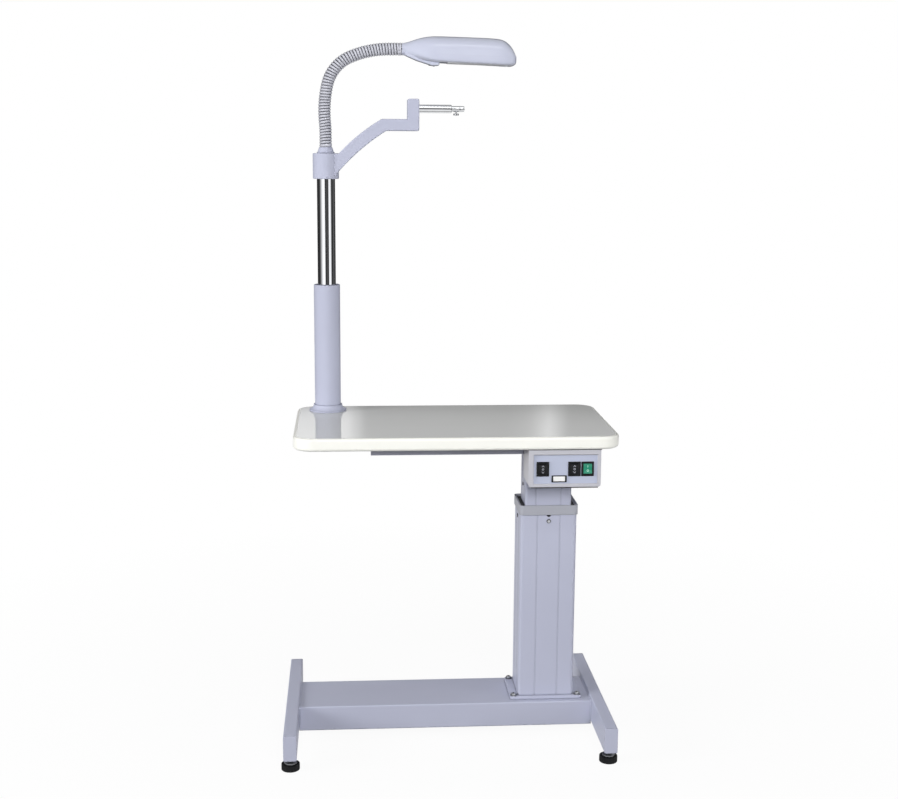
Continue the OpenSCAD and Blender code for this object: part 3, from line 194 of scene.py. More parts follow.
for place, (degrees, shade) in enumerate(tent_shades):
    if place < 2:
        stop = bands.color_ramp.elements[place]
        stop.position = (degrees + 180) / 360
    else:
        stop = bands.color_ramp.elements.new((degrees + 180) / 360)
    stop.color = (shade, shade, shade * 1.01, 1)
# Above the gear the ring is one plain light bank
bank = add_node(tree, "MapRange", {"Value": where.outputs["Z"], "From Min": 2.9, "From Max": 3.3})
bank_glow, velvet_tone = (1.15, 1.15, 1.15, 1), (0.03, 0.03, 0.03, 1)
cloth = add_node(tree, "Mix", {"Factor": bank.outputs[0], "A": bands.outputs["Color"], "B": bank_glow},
                 data_type="RGBA", clamp_result=False)
# Behind the object it is black velvet but for one low white band, so that round edges get dark outlines
rear = add_node(tree, "MapRange", {"Value": where.outputs["Y"], "From Min": 2.6, "From Max": 3.4})
band_z = 1.98
away = add_node(tree, "Math", {0: where.outputs["Z"], 1: -band_z}, operation="ADD")
away = add_node(tree, "Math", {0: away.outputs[0]}, operation="ABSOLUTE")
away = add_node(tree, "MapRange", {"Value": away.outputs[0], "From Min": 0.27, "From Max": 0.42})
velvet = add_node(tree, "Math", {0: rear.outputs[0], 1: away.outputs[0]}, operation="MULTIPLY")
cloth = add_node(tree, "Mix", {"Factor": velvet.outputs[0], "A": cloth.outputs["Result"], "B": velvet_tone},
                 data_type="RGBA", clamp_result=False)
cloth_light = add_node(tree, "Emission", {"Color": cloth.outputs["Result"], "Strength": 1.0})
tree.links.new(cloth_light.outputs[0], tree.nodes["Material Output"].inputs["Surface"])
tent_r, tent_h, tent_foot = 5, 6, -0.1
shape = bmesh.new()
bmesh.ops.create_cone(shape, cap_ends=False, segments=96, radius1=tent_r, radius2=tent_r, depth=tent_h,
                      matrix=Matrix.Translation((0, 0, tent_foot + tent_h / 2)))
tent = add_object(shape, "light_tent", tent_cloth)
tent.visible_camera = tent.visible_diffuse = tent.visible_shadow = tent.visible_transmission = False

# Side rails: two 60 by 30 mm steel tubes that stand on the levelling feet and carry everything. They are
# powder coated lilac grey: an even, half-gloss skin with a very fine orange peel.
powder_coat, tree, shader = new_finish("powder_coated_steel", "#BABDD0", 0.40)
shader.inputs["Specular IOR Level"].default_value = 0.1
place = add_node(tree, "TexCoord").outputs["Object"]
cloud = add_node(tree, "TexNoise", {"Vector": place, "Scale": 5.0, "Detail": 2.0})
tone = add_node(tree, "Mix", {"Factor": cloud.outputs["Fac"], "A": linear("#B6B9CC"), "B": linear("#BFC2D5")},
                data_type="RGBA")
# Painted shade: the coat's colour darkens in tight corners and creases, where shade falls, to draw contact
# shadow lines
corner = add_node(tree, "AmbientOcclusion", {"Distance": 0.007}, samples=6)
corner = add_node(tree, "MapRange", {"Value": corner.outputs["AO"], "From Min": 0.35, "From Max": 0.72,
                                     "To Min": 0.8, "To Max": 0.0})
tone = add_node(tree, "Mix", {"Factor": corner.outputs[0], "A": tone.outputs["Result"],
                              "B": linear("#555866")}, data_type="RGBA")
tree.links.new(tone.outputs["Result"], shader.inputs["Base Color"])
peel = add_node(tree, "TexNoise", {"Vector": place, "Scale": 1 / 0.0014, "Detail": 2.0})
gloss = add_node(tree, "MapRange", {"Value": peel.outputs["Fac"], "To Min": 0.36, "To Max": 0.46})
tree.links.new(gloss.outputs[0], shader.inputs["Roughness"])
folded = add_node(tree, "Bevel", {"Radius": 0.0025}, samples=6)
relief = add_node(tree, "Bump", {"Height": peel.outputs["Fac"], "Strength": 0.12, "Distance": 0.0001,
                                 "Normal": folded.outputs["Normal"]})
tree.links.new(relief.outputs["Normal"], shader.inputs["Normal"])


def mottle(tree, shader, scale, detail, low, high):
    """Noise that shades the base colour from low to high. Gives the place that it reads, and the noise."""
    place = add_node(tree, "TexCoord").outputs["Object"]
    noise = add_node(tree, "TexNoise", {"Vector": place, "Scale": scale, "Detail": detail})
    tone = add_node(tree, "Mix", {"Factor": noise.outputs["Fac"], "A": linear(low), "B": linear(high)},
                    data_type="RGBA")
    tree.links.new(tone.outputs["Result"], shader.inputs["Base Color"])
    return place, noise


def dress(finish, *names):
    """Gives CAD pieces this finish."""
    for name in names:
        for holder in parts[name].material_slots:
            holder.material = finish


dress(powder_coat, "left_rail", "right_rail")

# Rail end caps: plates let into the ends of the rails, welded, ground flush and coated with them. The
# front left one shows the small vent hole that coaters leave, with a grey plug that paints the shade inside
# it.
dress(powder_coat, "rail_end_caps")
vent_in, vent_z, vent_r = 0.018, 0.056, 0.0026
vent_place = (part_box("left_rail")[0].x + vent_in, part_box("rail_end_caps")[0].y + vent_r, vent_z)
# Painted shade: the plug's grey stands for the shade inside the vent hole
vent_hole_painted_shade, tree, shader = new_finish("vent_hole_plug", "#7E808C", 0.6)
mottle(tree, shader, 1500.0, 2.0, "#70727D", "#8C8E99")


def add_piece(shape, name, finish, body, stands_for=(), crease=35, more=()):
    """The finished bmesh as a piece that rides on a body. Edges sharper than crease stay sharp."""
    bmesh.ops.remove_doubles(shape, verts=shape.verts, dist=0.000002)
    bmesh.ops.recalc_face_normals(shape, faces=shape.faces)
    piece = add_object(shape, name, finish, *more)
    piece.data.shade_smooth()
    piece.data.set_sharp_from_angle(angle=math.radians(crease))
    even = piece.modifiers.new("even_shading", "WEIGHTED_NORMAL")
    even.keep_sharp = True
    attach(piece, body)
    if stands_for:
        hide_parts(*stands_for)
    return piece


shape = bmesh.new()
bmesh.ops.create_uvsphere(shape, u_segments=20, v_segments=10, radius=vent_r,
                          matrix=Matrix.Translation(vent_place))
add_piece(shape, "vent_hole_plug", vent_hole_painted_shade, "base")

# Levelling feet: a ribbed rubber pad that grips the floor, moulded round a zinc plated steel plate
# whose threaded stem screws into the rail and is held by a lock nut.
rubber, tree, shader = new_finish("moulded_rubber", "#0D0E0F", 0.62)
shader.inputs["Specular IOR Level"].default_value = 0.25
place, _ = mottle(tree, shader, 90.0, 5.0, "#08090A", "#131416")
grit = add_node(tree, "TexNoise", {"Vector": place, "Scale": 1 / 0.0006, "Detail": 3.0})
relief = add_node(tree, "Bump", {"Height": grit.outputs["Fac"], "Strength": 0.3, "Distance": 0.0002})
tree.links.new(relief.outputs["Normal"], shader.inputs["Normal"])
zinc, tree, shader = new_finish("zinc_plated_steel", "#A9ABAF", 0.22, 1.0)
place = add_node(tree, "TexCoord").outputs["Object"]
passivation = add_node(tree, "TexNoise", {"Vector": place, "Scale": 60.0, "Detail": 3.0})
tone = add_node(tree, "Mix", {"Factor": passivation.outputs["Fac"], "A": linear("#B3B5B8"),
                              "B": linear("#D2D4D8")}, data_type="RGBA")
# Painted shade: the zinc darkens in the corners round the heads, where shade falls
corner = add_node(tree, "AmbientOcclusion", {"Distance": 0.008}, samples=6)
corner = add_node(tree, "MapRange", {"Value": corner.outputs["AO"], "From Min": 0.45, "From Max": 0.85,
                                     "To Min": 0.9, "To Max": 0.0})
tone = add_node(tree, "Mix", {"Factor": corner.outputs[0], "A": tone.outputs["Result"],
                              "B": linear("#17181A")}, data_type="RGBA")
tree.links.new(tone.outputs["Result"], shader.inputs["Base Color"])
gloss = add_node(tree, "MapRange", {"Value": passivation.outputs["Fac"], "To Min": 0.24, "To Max": 0.44})
tree.links.new(gloss.outputs[0], shader.inputs["Roughness"])
pad_r, pad_h, ribs_round, groove_share = 0.021, 0.015, 36, 0.955
for end in ("front", "back"):
    for side in ("left", "right"):
        low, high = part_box(f"foot_pad_{end}_{side}")
        middle = (low + high) / 2
        shape = bmesh.new()
        bmesh.ops.create_cone(shape, cap_ends=True, segments=2 * ribs_round, radius1=pad_r, radius2=pad_r,
                              depth=pad_h, matrix=Matrix.Translation(middle))
        for vert in shape.verts:
            step = round(math.atan2(vert.co.y - middle.y, vert.co.x - middle.x) / math.pi * ribs_round)
            if step % 2:
                vert.co.xy = middle.xy + (vert.co.xy - middle.xy) * groove_share
        rims = [e for e in shape.edges if abs(e.verts[0].co.z - e.verts[1].co.z) < 1e-6]
        bmesh.ops.bevel(shape, geom=rims, offset=0.0012, segments=2, profile=0.5, affect="EDGES", material=-1)
        add_piece(shape, f"rubber_pad_{end}_{side}", rubber, f"foot_{end}_{side}",
                  [f"foot_pad_{end}_{side}"])
dress(zinc, "foot_nuts", "foot_stem_front_left", "foot_stem_front_right", "foot_stem_back_left",
      "foot_stem_back_right")

# Cross beam: a 160 by 60 mm steel tube between the rails, under the same coat. A small fillet weld runs
# up its front, over its top and down its back at each rail, and is brushed smooth before the coat.
dress(powder_coat, "cross_beam")


def swept_tube(name, places, radius, sides, finish):
    """A round tube along points, as a mesh with closed ends."""
    line = bpy.data.curves.new(name, "CURVE")
    line.dimensions = "3D"
    line.bevel_depth, line.bevel_resolution, line.use_fill_caps = radius, sides, True
    spline = line.splines.new("POLY")
    spline.points.add(len(places) - 1)
    for point, spot in zip(spline.points, places):
        point.co = (*spot, 1)
    lofted = bpy.data.objects.new(name + "_line", line)
    bpy.context.scene.collection.objects.link(lofted)
    mesh = bpy.data.meshes.new_from_object(lofted.evaluated_get(bpy.context.evaluated_depsgraph_get()))
    bpy.data.objects.remove(lofted)
    mesh.materials.clear()
    mesh.materials.append(finish)
    made = bpy.data.objects.new(name, mesh)
    bpy.context.scene.collection.objects.link(made)
    mesh.shade_smooth()
    return made


beam_low, beam_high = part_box("cross_beam")
weld_foot, weld_r, sunk, turn_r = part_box("left_rail")[0].z + 0.003, 0.0022, 0.0004, 0.003
quarter = [(math.cos(a), math.sin(a)) for a in (math.radians(15 * i) for i in range(7))]
for side, x in (("left", beam_low.x + sunk), ("right", beam_high.x - sunk)):
    seam = [(x, beam_low.y - sunk, weld_foot)]
    top_z = beam_high.z - turn_r + sunk
    seam += [(x, beam_low.y + turn_r - sunk - turn_r * c, top_z + turn_r * s) for c, s in quarter]
    seam += [(x, beam_high.y - turn_r + sunk + turn_r * s, top_z + turn_r * c) for c, s in quarter]
    seam += [(x, beam_high.y + sunk, weld_foot)]
    weld = swept_tube(f"weld_{side}", seam, weld_r, 2, powder_coat)
    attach(weld, "base")

# Column flange: an 8 mm steel plate welded under the outer column and bolted to the beam through its
# top wall with four button head bolts and washers.
dress(powder_coat, "column_flange")
dress(zinc, "flange_bolts")

# Outer column: an extruded profile with two shallow grooves in each face, coated lilac grey. Two round
# head screws hold the upper guide inside it.
dress(powder_coat, "outer_column")
screw_low, screw_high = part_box("column_screws")
column_middle = (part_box("outer_column")[0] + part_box("outer_column")[1]) / 2
screw_steel, tree, shader = new_finish("worn_black_screw_steel", "#C9CBCE", 0.34, 1.0)
spot = add_node(tree, "SeparateXYZ", {0: add_node(tree, "TexCoord").outputs["Object"]})
offsets = []
for axis, centre in (("X", column_middle.x), ("Y", column_middle.y), ("Z", (screw_low.z + screw_high.z) / 2)):
    offset = add_node(tree, "Math", {0: spot.outputs[axis], 1: -centre}, operation="ADD")
    offsets.append(add_node(tree, "Math", {0: offset.outputs[0]}, operation="ABSOLUTE"))
across = add_node(tree, "Math", {0: offsets[0].outputs[0], 1: offsets[1].outputs[0]}, operation="MINIMUM")
reach = add_node(tree, "CombineXYZ", {"X": across.outputs[0], "Y": offsets[2].outputs[0]})
reach = add_node(tree, "VectorMath", {0: reach.outputs[0]}, operation="LENGTH")
rim = add_node(tree, "MapRange", {"Value": reach.outputs["Value"], "From Min": 0.0031, "From Max": 0.0037})
tone = add_node(tree, "Mix", {"Factor": rim.outputs[0], "A": linear("#D3D5D9"), "B": linear("#1C1D20")},
                data_type="RGBA")
tree.links.new(tone.outputs["Result"], shader.inputs["Base Color"])
dress(screw_steel, "column_screws")

# Column cap: a moulded grey ABS collar that covers the profile's cut end. The mould was spark eroded,
# so its skin is finely grained and half matte.
cap_plastic, tree, shader = new_finish("grained_abs", "#A8AAB3", 0.5)
place = add_node(tree, "TexCoord").outputs["Object"]
grain = add_node(tree, "TexNoise", {"Vector": place, "Scale": 1 / 0.0008, "Detail": 3.0, "Roughness": 0.6})
tone = add_node(tree, "Mix", {"Factor": grain.outputs["Fac"], "A": linear("#A2A4AE"), "B": linear("#AEB0B9")},
                data_type="RGBA")
tree.links.new(tone.outputs["Result"], shader.inputs["Base Color"])
folded = add_node(tree, "Bevel", {"Radius": 0.0012}, samples=4)
relief = add_node(tree, "Bump", {"Height": grain.outputs["Fac"], "Strength": 0.2, "Distance": 0.0002,
                                 "Normal": folded.outputs["Normal"]})
tree.links.new(relief.outputs["Normal"], shader.inputs["Normal"])
dress(cap_plastic, "column_cap")

# Guides and lift drive, inside the column: two moulded black guides that slide on the profiles, a
# motor with its gear case, and a steel spindle that drives the push tube up its guide tube.
black_plastic, tree, shader = new_finish("black_moulded_nylon", "#101114", 0.42)
shader.inputs["Specular IOR Level"].default_value = 0.3
_, grain = mottle(tree, shader, 1 / 0.0007, 2.0, "#0C0D0F", "#161719")
folded = add_node(tree, "Bevel", {"Radius": 0.0006}, samples=4)
relief = add_node(tree, "Bump", {"Height": grain.outputs["Fac"], "Strength": 0.15, "Distance": 0.0002,
                                 "Normal": folded.outputs["Normal"]})
tree.links.new(relief.outputs["Normal"], shader.inputs["Normal"])
turned_steel, tree, shader = new_finish("drawn_steel", "#BEC0C3", 0.3, 1.0)
place = add_node(tree, "TexCoord").outputs["Object"]
stretch = add_node(tree, "Mapping", {"Vector": place, "Scale": (1, 1, 0.02)})
draw_marks = add_node(tree, "TexNoise", {"Vector": stretch.outputs[0], "Scale": 1 / 0.0009, "Detail": 3.0})
tone = add_node(tree, "Mix", {"Factor": draw_marks.outputs["Fac"], "A": linear("#AEB0B4"),
                              "B": linear("#CDCFD2")}, data_type="RGBA")
tree.links.new(tone.outputs["Result"], shader.inputs["Base Color"])
gloss = add_node(tree, "MapRange", {"Value": draw_marks.outputs["Fac"], "To Min": 0.2, "To Max": 0.42})
tree.links.new(gloss.outputs[0], shader.inputs["Roughness"])
dress(black_plastic, "upper_guide", "lower_guide", "lift_motor")
dress(turned_steel, "drive_tube", "lift_spindle", "push_tube")

# Inner column: a slimmer coated profile that slides in the outer one, closed by a welded plate, under
# a bent steel channel that reaches left below the tabletop and takes its six screws.
dress(powder_coat, "inner_column", "column_top_plate", "table_bracket")
dress(zinc, "table_screws")

# Tabletop board: 29 mm chipboard, seen from below as pressed pale flakes under a thin clear size.
chipboard, tree, shader = new_finish("chipboard", "#C9B48C", 0.75)
place = add_node(tree, "TexCoord").outputs["Object"]
flakes = add_node(tree, "TexVoronoi", {"Vector": place, "Scale": 1 / 0.004, "Randomness": 1.0})
flake_tone = add_node(tree, "ValToRGB", {"Fac": flakes.outputs["Color"]})
flake_tone.color_ramp.elements[0].color = linear("#A98F62")
flake_tone.color_ramp.elements[1].color = linear("#DCCBA6")
tree.links.new(flake_tone.outputs["Color"], shader.inputs["Base Color"])
relief = add_node(tree, "Bump", {"Height": flakes.outputs["Distance"], "Strength": 0.2, "Distance": 0.0003})
tree.links.new(relief.outputs["Normal"], shader.inputs["Normal"])
dress(chipboard, "tabletop_core")

# Top skin: a sheet of high pressure laminate, near white, pressed against a polished plate, so that
# the post and the studio stand mirrored in it.
laminate, tree, shader = new_finish("gloss_laminate", "#E2E3E1", 0.06)
place, _ = mottle(tree, shader, 4.0, 2.0, "#DFE0DE", "#E5E6E4")
ripple = add_node(tree, "TexNoise", {"Vector": place, "Scale": 1 / 0.03, "Detail": 1.0})
relief = add_node(tree, "Bump", {"Height": ripple.outputs["Fac"], "Strength": 0.02, "Distance": 0.0004})
tree.links.new(relief.outputs["Normal"], shader.inputs["Normal"])
wear = add_node(tree, "MapRange", {"Value": ripple.outputs["Fac"], "To Min": 0.05, "To Max": 0.09})
tree.links.new(wear.outputs[0], shader.inputs["Roughness"])
dress(laminate, "tabletop_laminate")

# Edge band: a rounded ivory PVC moulding glued all round the board. It is extruded, so it has a soft
# even gloss.
edge_pvc, tree, shader = new_finish("ivory_pvc", "#F8F8F1", 0.3)
_, cloud = mottle(tree, shader, 14.0, 2.0, "#F5F5EE", "#FBFBF5")
gloss = add_node(tree, "MapRange", {"Value": cloud.outputs["Fac"], "To Min": 0.26, "To Max": 0.36})
tree.links.new(gloss.outputs[0], shader.inputs["Roughness"])
dress(edge_pvc, "tabletop_edge")

# Control box: folded sheet steel with a warm grey coat, closed at the front by a bezel. A black lid lies on
# it, and a black cover runs under it. Their black is partly painted shade, for the shade under the tabletop
# and under the box.
box_coat, tree, shader = new_finish("warm_grey_coat", "#BFBFC7", 0.42)
_, peel = mottle(tree, shader, 1 / 0.0012, 2.0, "#BBBBC4", "#C3C3CA")
folded = add_node(tree, "Bevel", {"Radius": 0.0018}, samples=6)
relief = add_node(tree, "Bump", {"Height": peel.outputs["Fac"], "Strength": 0.1, "Distance": 0.0001,
                                 "Normal": folded.outputs["Normal"]})
tree.links.new(relief.outputs["Normal"], shader.inputs["Normal"])
dress(box_coat, "box_shell", "box_bezel")
# The black lid and cover are dark sheets that also paint the shade above and below the box
dress(black_plastic, "box_covers", "box_screws", "cable_gland")

# Panel: a plate with a pale blue polyester film, which is matte and very slightly pebbled.
panel_film, tree, shader = new_finish("polyester_film", "#B8BED2", 0.48)
_, pebble = mottle(tree, shader, 1 / 0.0006, 1.0, "#B4BACF", "#BCC2D5")
relief = add_node(tree, "Bump", {"Height": pebble.outputs["Fac"], "Strength": 0.1, "Distance": 0.0001})
tree.links.new(relief.outputs["Normal"], shader.inputs["Normal"])
dress(panel_film, "switch_panel")

# Inside the box: the transformer's varnished iron stack and the control board on its standoffs.
iron, tree, shader = new_finish("varnished_iron", "#5A5D63", 0.45, 0.6)
place = add_node(tree, "TexCoord").outputs["Object"]
sheets = add_node(tree, "TexWave", {"Vector": place, "Scale": 1 / 0.004, "Distortion": 0.3},
                  bands_direction="Y")
tone = add_node(tree, "Mix", {"Factor": sheets.outputs["Fac"], "A": linear("#4C4F55"),
                              "B": linear("#6A6D73")}, data_type="RGBA")
tree.links.new(tone.outputs["Result"], shader.inputs["Base Color"])
dress(iron, "transformer")
green_board, tree, shader = new_finish("solder_mask", "#2F6B3C", 0.35)
place = add_node(tree, "TexCoord").outputs["Object"]
tracks = add_node(tree, "TexBrick", {"Vector": place, "Scale": 160.0, "Color1": linear("#2F6B3C"),
                                     "Color2": linear("#2A6237"), "Mortar": linear("#3E7F49")})
tree.links.new(tracks.outputs["Color"], shader.inputs["Base Color"])
dress(green_board, "control_board")

# Switch frames: black nylon snap-in housings with eased rims, and the frame of the label window.
dress(black_plastic, "switch_frames", "window_frame")
label, tree, shader = new_finish("white_label_lens", "#F3F3F2", 0.25)
mottle(tree, shader, 120.0, 2.0, "#EFEFEE", "#F8F8F7")
dress(label, "window_lens")

# Rockers: two black up and down rockers and a green power rocker whose upper end is pressed in. Each
# has a hollow face, and its marks are printed in pale ink.
panel_x, switch_z, axle_in, tilt = 0.261, 0.673, 0.003, math.radians(8)
rocker_w, rocker_half = 0.0194, 0.0115
face_end, face_middle = 0.005, 0.0036
green_plastic, tree, shader = new_finish("green_polycarbonate", "#2C9072", 0.22)
mottle(tree, shader, 150.0, 2.0, "#26866A", "#33997A")
shader.inputs["Transmission Weight"].default_value = 0.1
pale_ink, tree, shader = new_finish("pale_ink", "#9EA0AA", 0.5)
mottle(tree, shader, 2500.0, 2.0, "#8C8E98", "#B2B4BD")
green_ink, tree, shader = new_finish("pale_green_ink", "#9FD8C2", 0.45)
mottle(tree, shader, 2500.0, 2.0, "#82CBB0", "#B4E4D2")


def face_out(up):
    """How far a rocker's hollow face stands out from the panel at a height from its middle."""
    return face_middle + (face_end - face_middle) * (up / rocker_half) ** 2


def on_switch(x, turn):
    """From a switch's own axes, right, up and out of the panel from its axle, to the frame."""
    across = Matrix(((1, 0, 0, 0), (0, 0, -1, 0), (0, 1, 0, 0), (0, 0, 0, 1)))
    return (Matrix.Translation((panel_x + x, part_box("box_shell")[0].y + axle_in, switch_z)) @ across
            @ Matrix.Rotation(turn, 4, "X"))


def thicken(shape, points, depth):
    """A flat outline added to the bmesh and thickened by a vector. Gives all its corners."""
    face = shape.faces.new([shape.verts.new(p) for p in points])
    more = bmesh.ops.extrude_face_region(shape, geom=[face])["geom"]
    lifted = [v for v in more if isinstance(v, bmesh.types.BMVert)]
    bmesh.ops.translate(shape, verts=lifted, vec=depth)
    return lifted + [v for v in face.verts if v not in lifted]


def on_face(to_frame, up):
    """Where a mark lies on a rocker's hollow face at a height from its middle, sunk in by its ink."""
    lean = math.atan(2 * (face_end - face_middle) * up / rocker_half ** 2)
    sunk_in = Matrix.Translation((0, up, face_out(up) + axle_in - ink))
    return to_frame @ sunk_in @ Matrix.Rotation(lean, 4, "X")


ink, arrow_at = 0.00025, 0.0074
for name, node, x, turn, finish, mark, slot in (
        ("left_key", "left_rocker", -0.0505, 0, black_plastic, pale_ink, "black_plastic"),
        ("right_key", "right_rocker", 0.0225, 0, black_plastic, pale_ink, "black_plastic"),
        ("power_key", "power_rocker", 0.053, -tilt, green_plastic, green_ink, "green_plastic")):
    to_frame = on_switch(x, turn)
    shape = bmesh.new()
    ups = [-rocker_half + 2 * rocker_half * i / 12 for i in range(13)]
    side = [(-rocker_w / 2, up, face_out(up) + axle_in) for up in ups]
    side += [(-rocker_w / 2, rocker_half, 0.002), (-rocker_w / 2, 0.0015, -0.0015),
             (-rocker_w / 2, -0.0015, -0.0015), (-rocker_w / 2, -rocker_half, 0.002)]
    thicken(shape, side, (rocker_w, 0, 0))
    bmesh.ops.recalc_face_normals(shape, faces=shape.faces)
    rims = [e for e in shape.edges if e.calc_face_angle(0) > 0.6]
    bmesh.ops.bevel(shape, geom=rims, offset=0.0006, segments=3, profile=0.5, affect="EDGES", material=-1)
    bmesh.ops.create_cone(shape, cap_ends=True, segments=24, radius1=0.0015, radius2=0.0015, depth=0.024,
                          matrix=Matrix.Rotation(math.pi / 2, 4, "Y"))
    bmesh.ops.transform(shape, matrix=to_frame, verts=shape.verts)
    add_piece(shape, f"{name}_rocker", finish, name, [node], crease=50)
    marks = bmesh.new()
    ring_up, ring_size = (-0.0045, 0.0027) if name == "power_key" else (0, 0.0025)
    bmesh.ops.create_circle(marks, segments=28, radius=ring_size)
    bmesh.ops.create_circle(marks, segments=28, radius=ring_size * 0.5)
    bmesh.ops.bridge_loops(marks, edges=marks.edges[:])
    lifted = bmesh.ops.extrude_face_region(marks, geom=marks.faces[:])["geom"]
    lifted = [v for v in lifted if isinstance(v, bmesh.types.BMVert)]
    bmesh.ops.translate(marks, verts=lifted, vec=(0, 0, 2 * ink))
    bmesh.ops.transform(marks, verts=marks.verts, matrix=on_face(to_frame, ring_up))
    if name == "power_key":
        bar_half, bar_up, bar_at = 0.0007, 0.0026, 0.0052
        bar = [(-bar_half, -bar_up, 0), (bar_half, -bar_up, 0), (bar_half, bar_up, 0), (-bar_half, bar_up, 0)]
        bmesh.ops.transform(marks, matrix=on_face(to_frame, bar_at),
                            verts=thicken(marks, bar, (0, 0, 2 * ink)))
    else:
        for way in (-1, 1):
            arrow = [(-0.0034, -0.0021 * way, 0), (-0.0020, -0.0021 * way, 0), (0, 0.0005 * way, 0),
                     (0.0020, -0.0021 * way, 0), (0.0034, -0.0021 * way, 0), (0, 0.0026 * way, 0)]
            bmesh.ops.transform(marks, matrix=on_face(to_frame, way * arrow_at),
                                verts=thicken(marks, arrow, (0, 0, 2 * ink)))
    add_piece(marks, f"{name}_marks", mark, name, crease=30)

# Post: a coated steel tube through the tabletop, with a flared cast foot let into the laminate, and a
# nylon bush at its mouth that grips the sliding tube.
dress(powder_coat, "post_outer_tube", "post_foot")
dress(black_plastic, "post_bush")

# Sliding tube: a drawn steel tube, polished and chrome plated, so that it mirrors the studio in dark
# and light streaks. Handling has left faint marks along it.
chrome, tree, shader = new_finish("chrome_plated_steel", "#E3E4E6", 0.07, 1.0)
place = add_node(tree, "TexCoord").outputs["Object"]
stretch = add_node(tree, "Mapping", {"Vector": place, "Scale": (1, 1, 0.15)})
smudge = add_node(tree, "TexNoise", {"Vector": stretch.outputs[0], "Scale": 60.0, "Detail": 5.0})
gloss = add_node(tree, "MapRange", {"Value": smudge.outputs["Fac"], "From Min": 0.35, "From Max": 0.75,
                                    "To Min": 0.04, "To Max": 0.16})
tree.links.new(gloss.outputs[0], shader.inputs["Roughness"])
tone = add_node(tree, "Mix", {"Factor": smudge.outputs["Fac"], "A": linear("#EBECEE"),
                              "B": linear("#D2D4D7")}, data_type="RGBA")
tree.links.new(tone.outputs["Result"], shader.inputs["Base Color"])
dress(chrome, "chrome_tube")

# Phoropter arm: one aluminium casting, a collar that hangs on the sliding tube and a cranked bar, with
# its edges filed round before it was coated.
chrome_r = 0.022
post_x, post_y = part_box("chrome_tube")[0].x + chrome_r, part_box("chrome_tube")[0].y + chrome_r
collar_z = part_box("phoropter_arm")[0].z
collar_r, bore_r, shelf_r, collar_h = 0.0315, 0.02205, 0.0203, 0.061
reach, bar_z, bar_h, bar_t = 0.225, 0.115, 0.028, 0.048
post_end_w, post_end_h, corner_r = 0.028, 0.076, 0.004


def low_arc(start, end, sag, steps):
    """Points from start to end on an arc that rises by sag over its chord."""
    start, end = Vector(start), Vector(end)
    run = end - start
    across = Vector((-run.y, run.x)).normalized()
    shares = [i / steps for i in range(steps + 1)]
    return [start + run * share + across * 4 * sag * share * (1 - share) for share in shares]


def round_corner(x, z, start):
    """Points round a quarter turn of the corner radius."""
    return [Vector((x, z)) + corner_r * Vector((math.cos(a), math.sin(a)))
            for a in (math.radians(start + 22.5 * i) for i in range(5))]


outline = (low_arc((0.019, 0.003), (0.65 * reach, bar_z), 0.007, 14)
           + round_corner(reach - corner_r, bar_z + corner_r, -90)
           + round_corner(reach - corner_r, bar_z + post_end_h - corner_r, 0)
           + round_corner(reach - post_end_w + corner_r, bar_z + post_end_h - corner_r, 90)
           + [Vector((reach - post_end_w, bar_z + bar_h))]
           + low_arc((0.6 * reach, bar_z + bar_h), (collar_r, collar_h - 0.0005), -0.005, 14)
           + [Vector((0.019, collar_h - 0.0005))])
shape = bmesh.new()
thicken(shape, [(p.x, -bar_t / 2, p.y) for p in outline], (0, bar_t, 0))
bmesh.ops.recalc_face_normals(shape, faces=shape.faces)
rims = [e for e in shape.edges if abs(e.verts[0].co.y - e.verts[1].co.y) < 1e-6]
bmesh.ops.bevel(shape, geom=rims, offset=0.0028, segments=4, profile=0.5, affect="EDGES", material=-1)
shelf_h, eased = 0.004, 0.0012
ring = [(shelf_r, collar_h - shelf_h), (shelf_r, collar_h), (collar_r - eased, collar_h),
        (collar_r, collar_h - eased), (collar_r, eased), (collar_r - eased, 0), (bore_r, 0),
        (bore_r, collar_h - shelf_h)]
points = [shape.verts.new((r, 0, z)) for r, z in ring]
rim = [shape.edges.new(pair) for pair in zip(points, points[1:] + points[:1])]
bmesh.ops.spin(shape, geom=points + rim, cent=(0, 0, 0), axis=(0, 0, 1), angle=2 * math.pi, steps=96,
               use_merge=True)
bmesh.ops.translate(shape, verts=shape.verts, vec=(post_x, post_y, collar_z))
add_piece(shape, "phoropter_arm_casting", powder_coat, "arm", ["phoropter_arm"], crease=40)

# Phoropter pin and its lock screw: turned steel, polished and chromed, pressed into the arm's end. The
# tip has a small lock screw under it and a cross hole, with a black set screw let into its front.
dress(chrome, "arm_pin", "pin_lock_screw")
black_oxide, tree, shader = new_finish("black_oxide_steel", "#17181B", 0.5, 0.4)
mottle(tree, shader, 400.0, 2.0, "#121316", "#1F2024")
pin_low, pin_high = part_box("arm_pin")
hole_from_tip, tip_r, set_screw_r, set_screw_len, set_in = 0.01085, 0.007, 0.0019, 0.005, 0.0008
shape = bmesh.new()
bmesh.ops.create_cone(shape, cap_ends=True, segments=24, radius1=set_screw_r, radius2=set_screw_r,
                      depth=set_screw_len, matrix=Matrix.Rotation(math.pi / 2, 4, "X"))
bmesh.ops.translate(shape, verts=shape.verts, vec=(
    pin_high.x - hole_from_tip, (pin_low.y + pin_high.y) / 2 - tip_r + set_in + set_screw_len / 2,
    (pin_low.z + pin_high.z) / 2))
add_piece(shape, "pin_set_screw", black_oxide, "arm")

# Lamp cone: a turned, coated foot whose spigot sits in the sliding tube and carries the gooseneck.
dress(powder_coat, "lamp_cone")

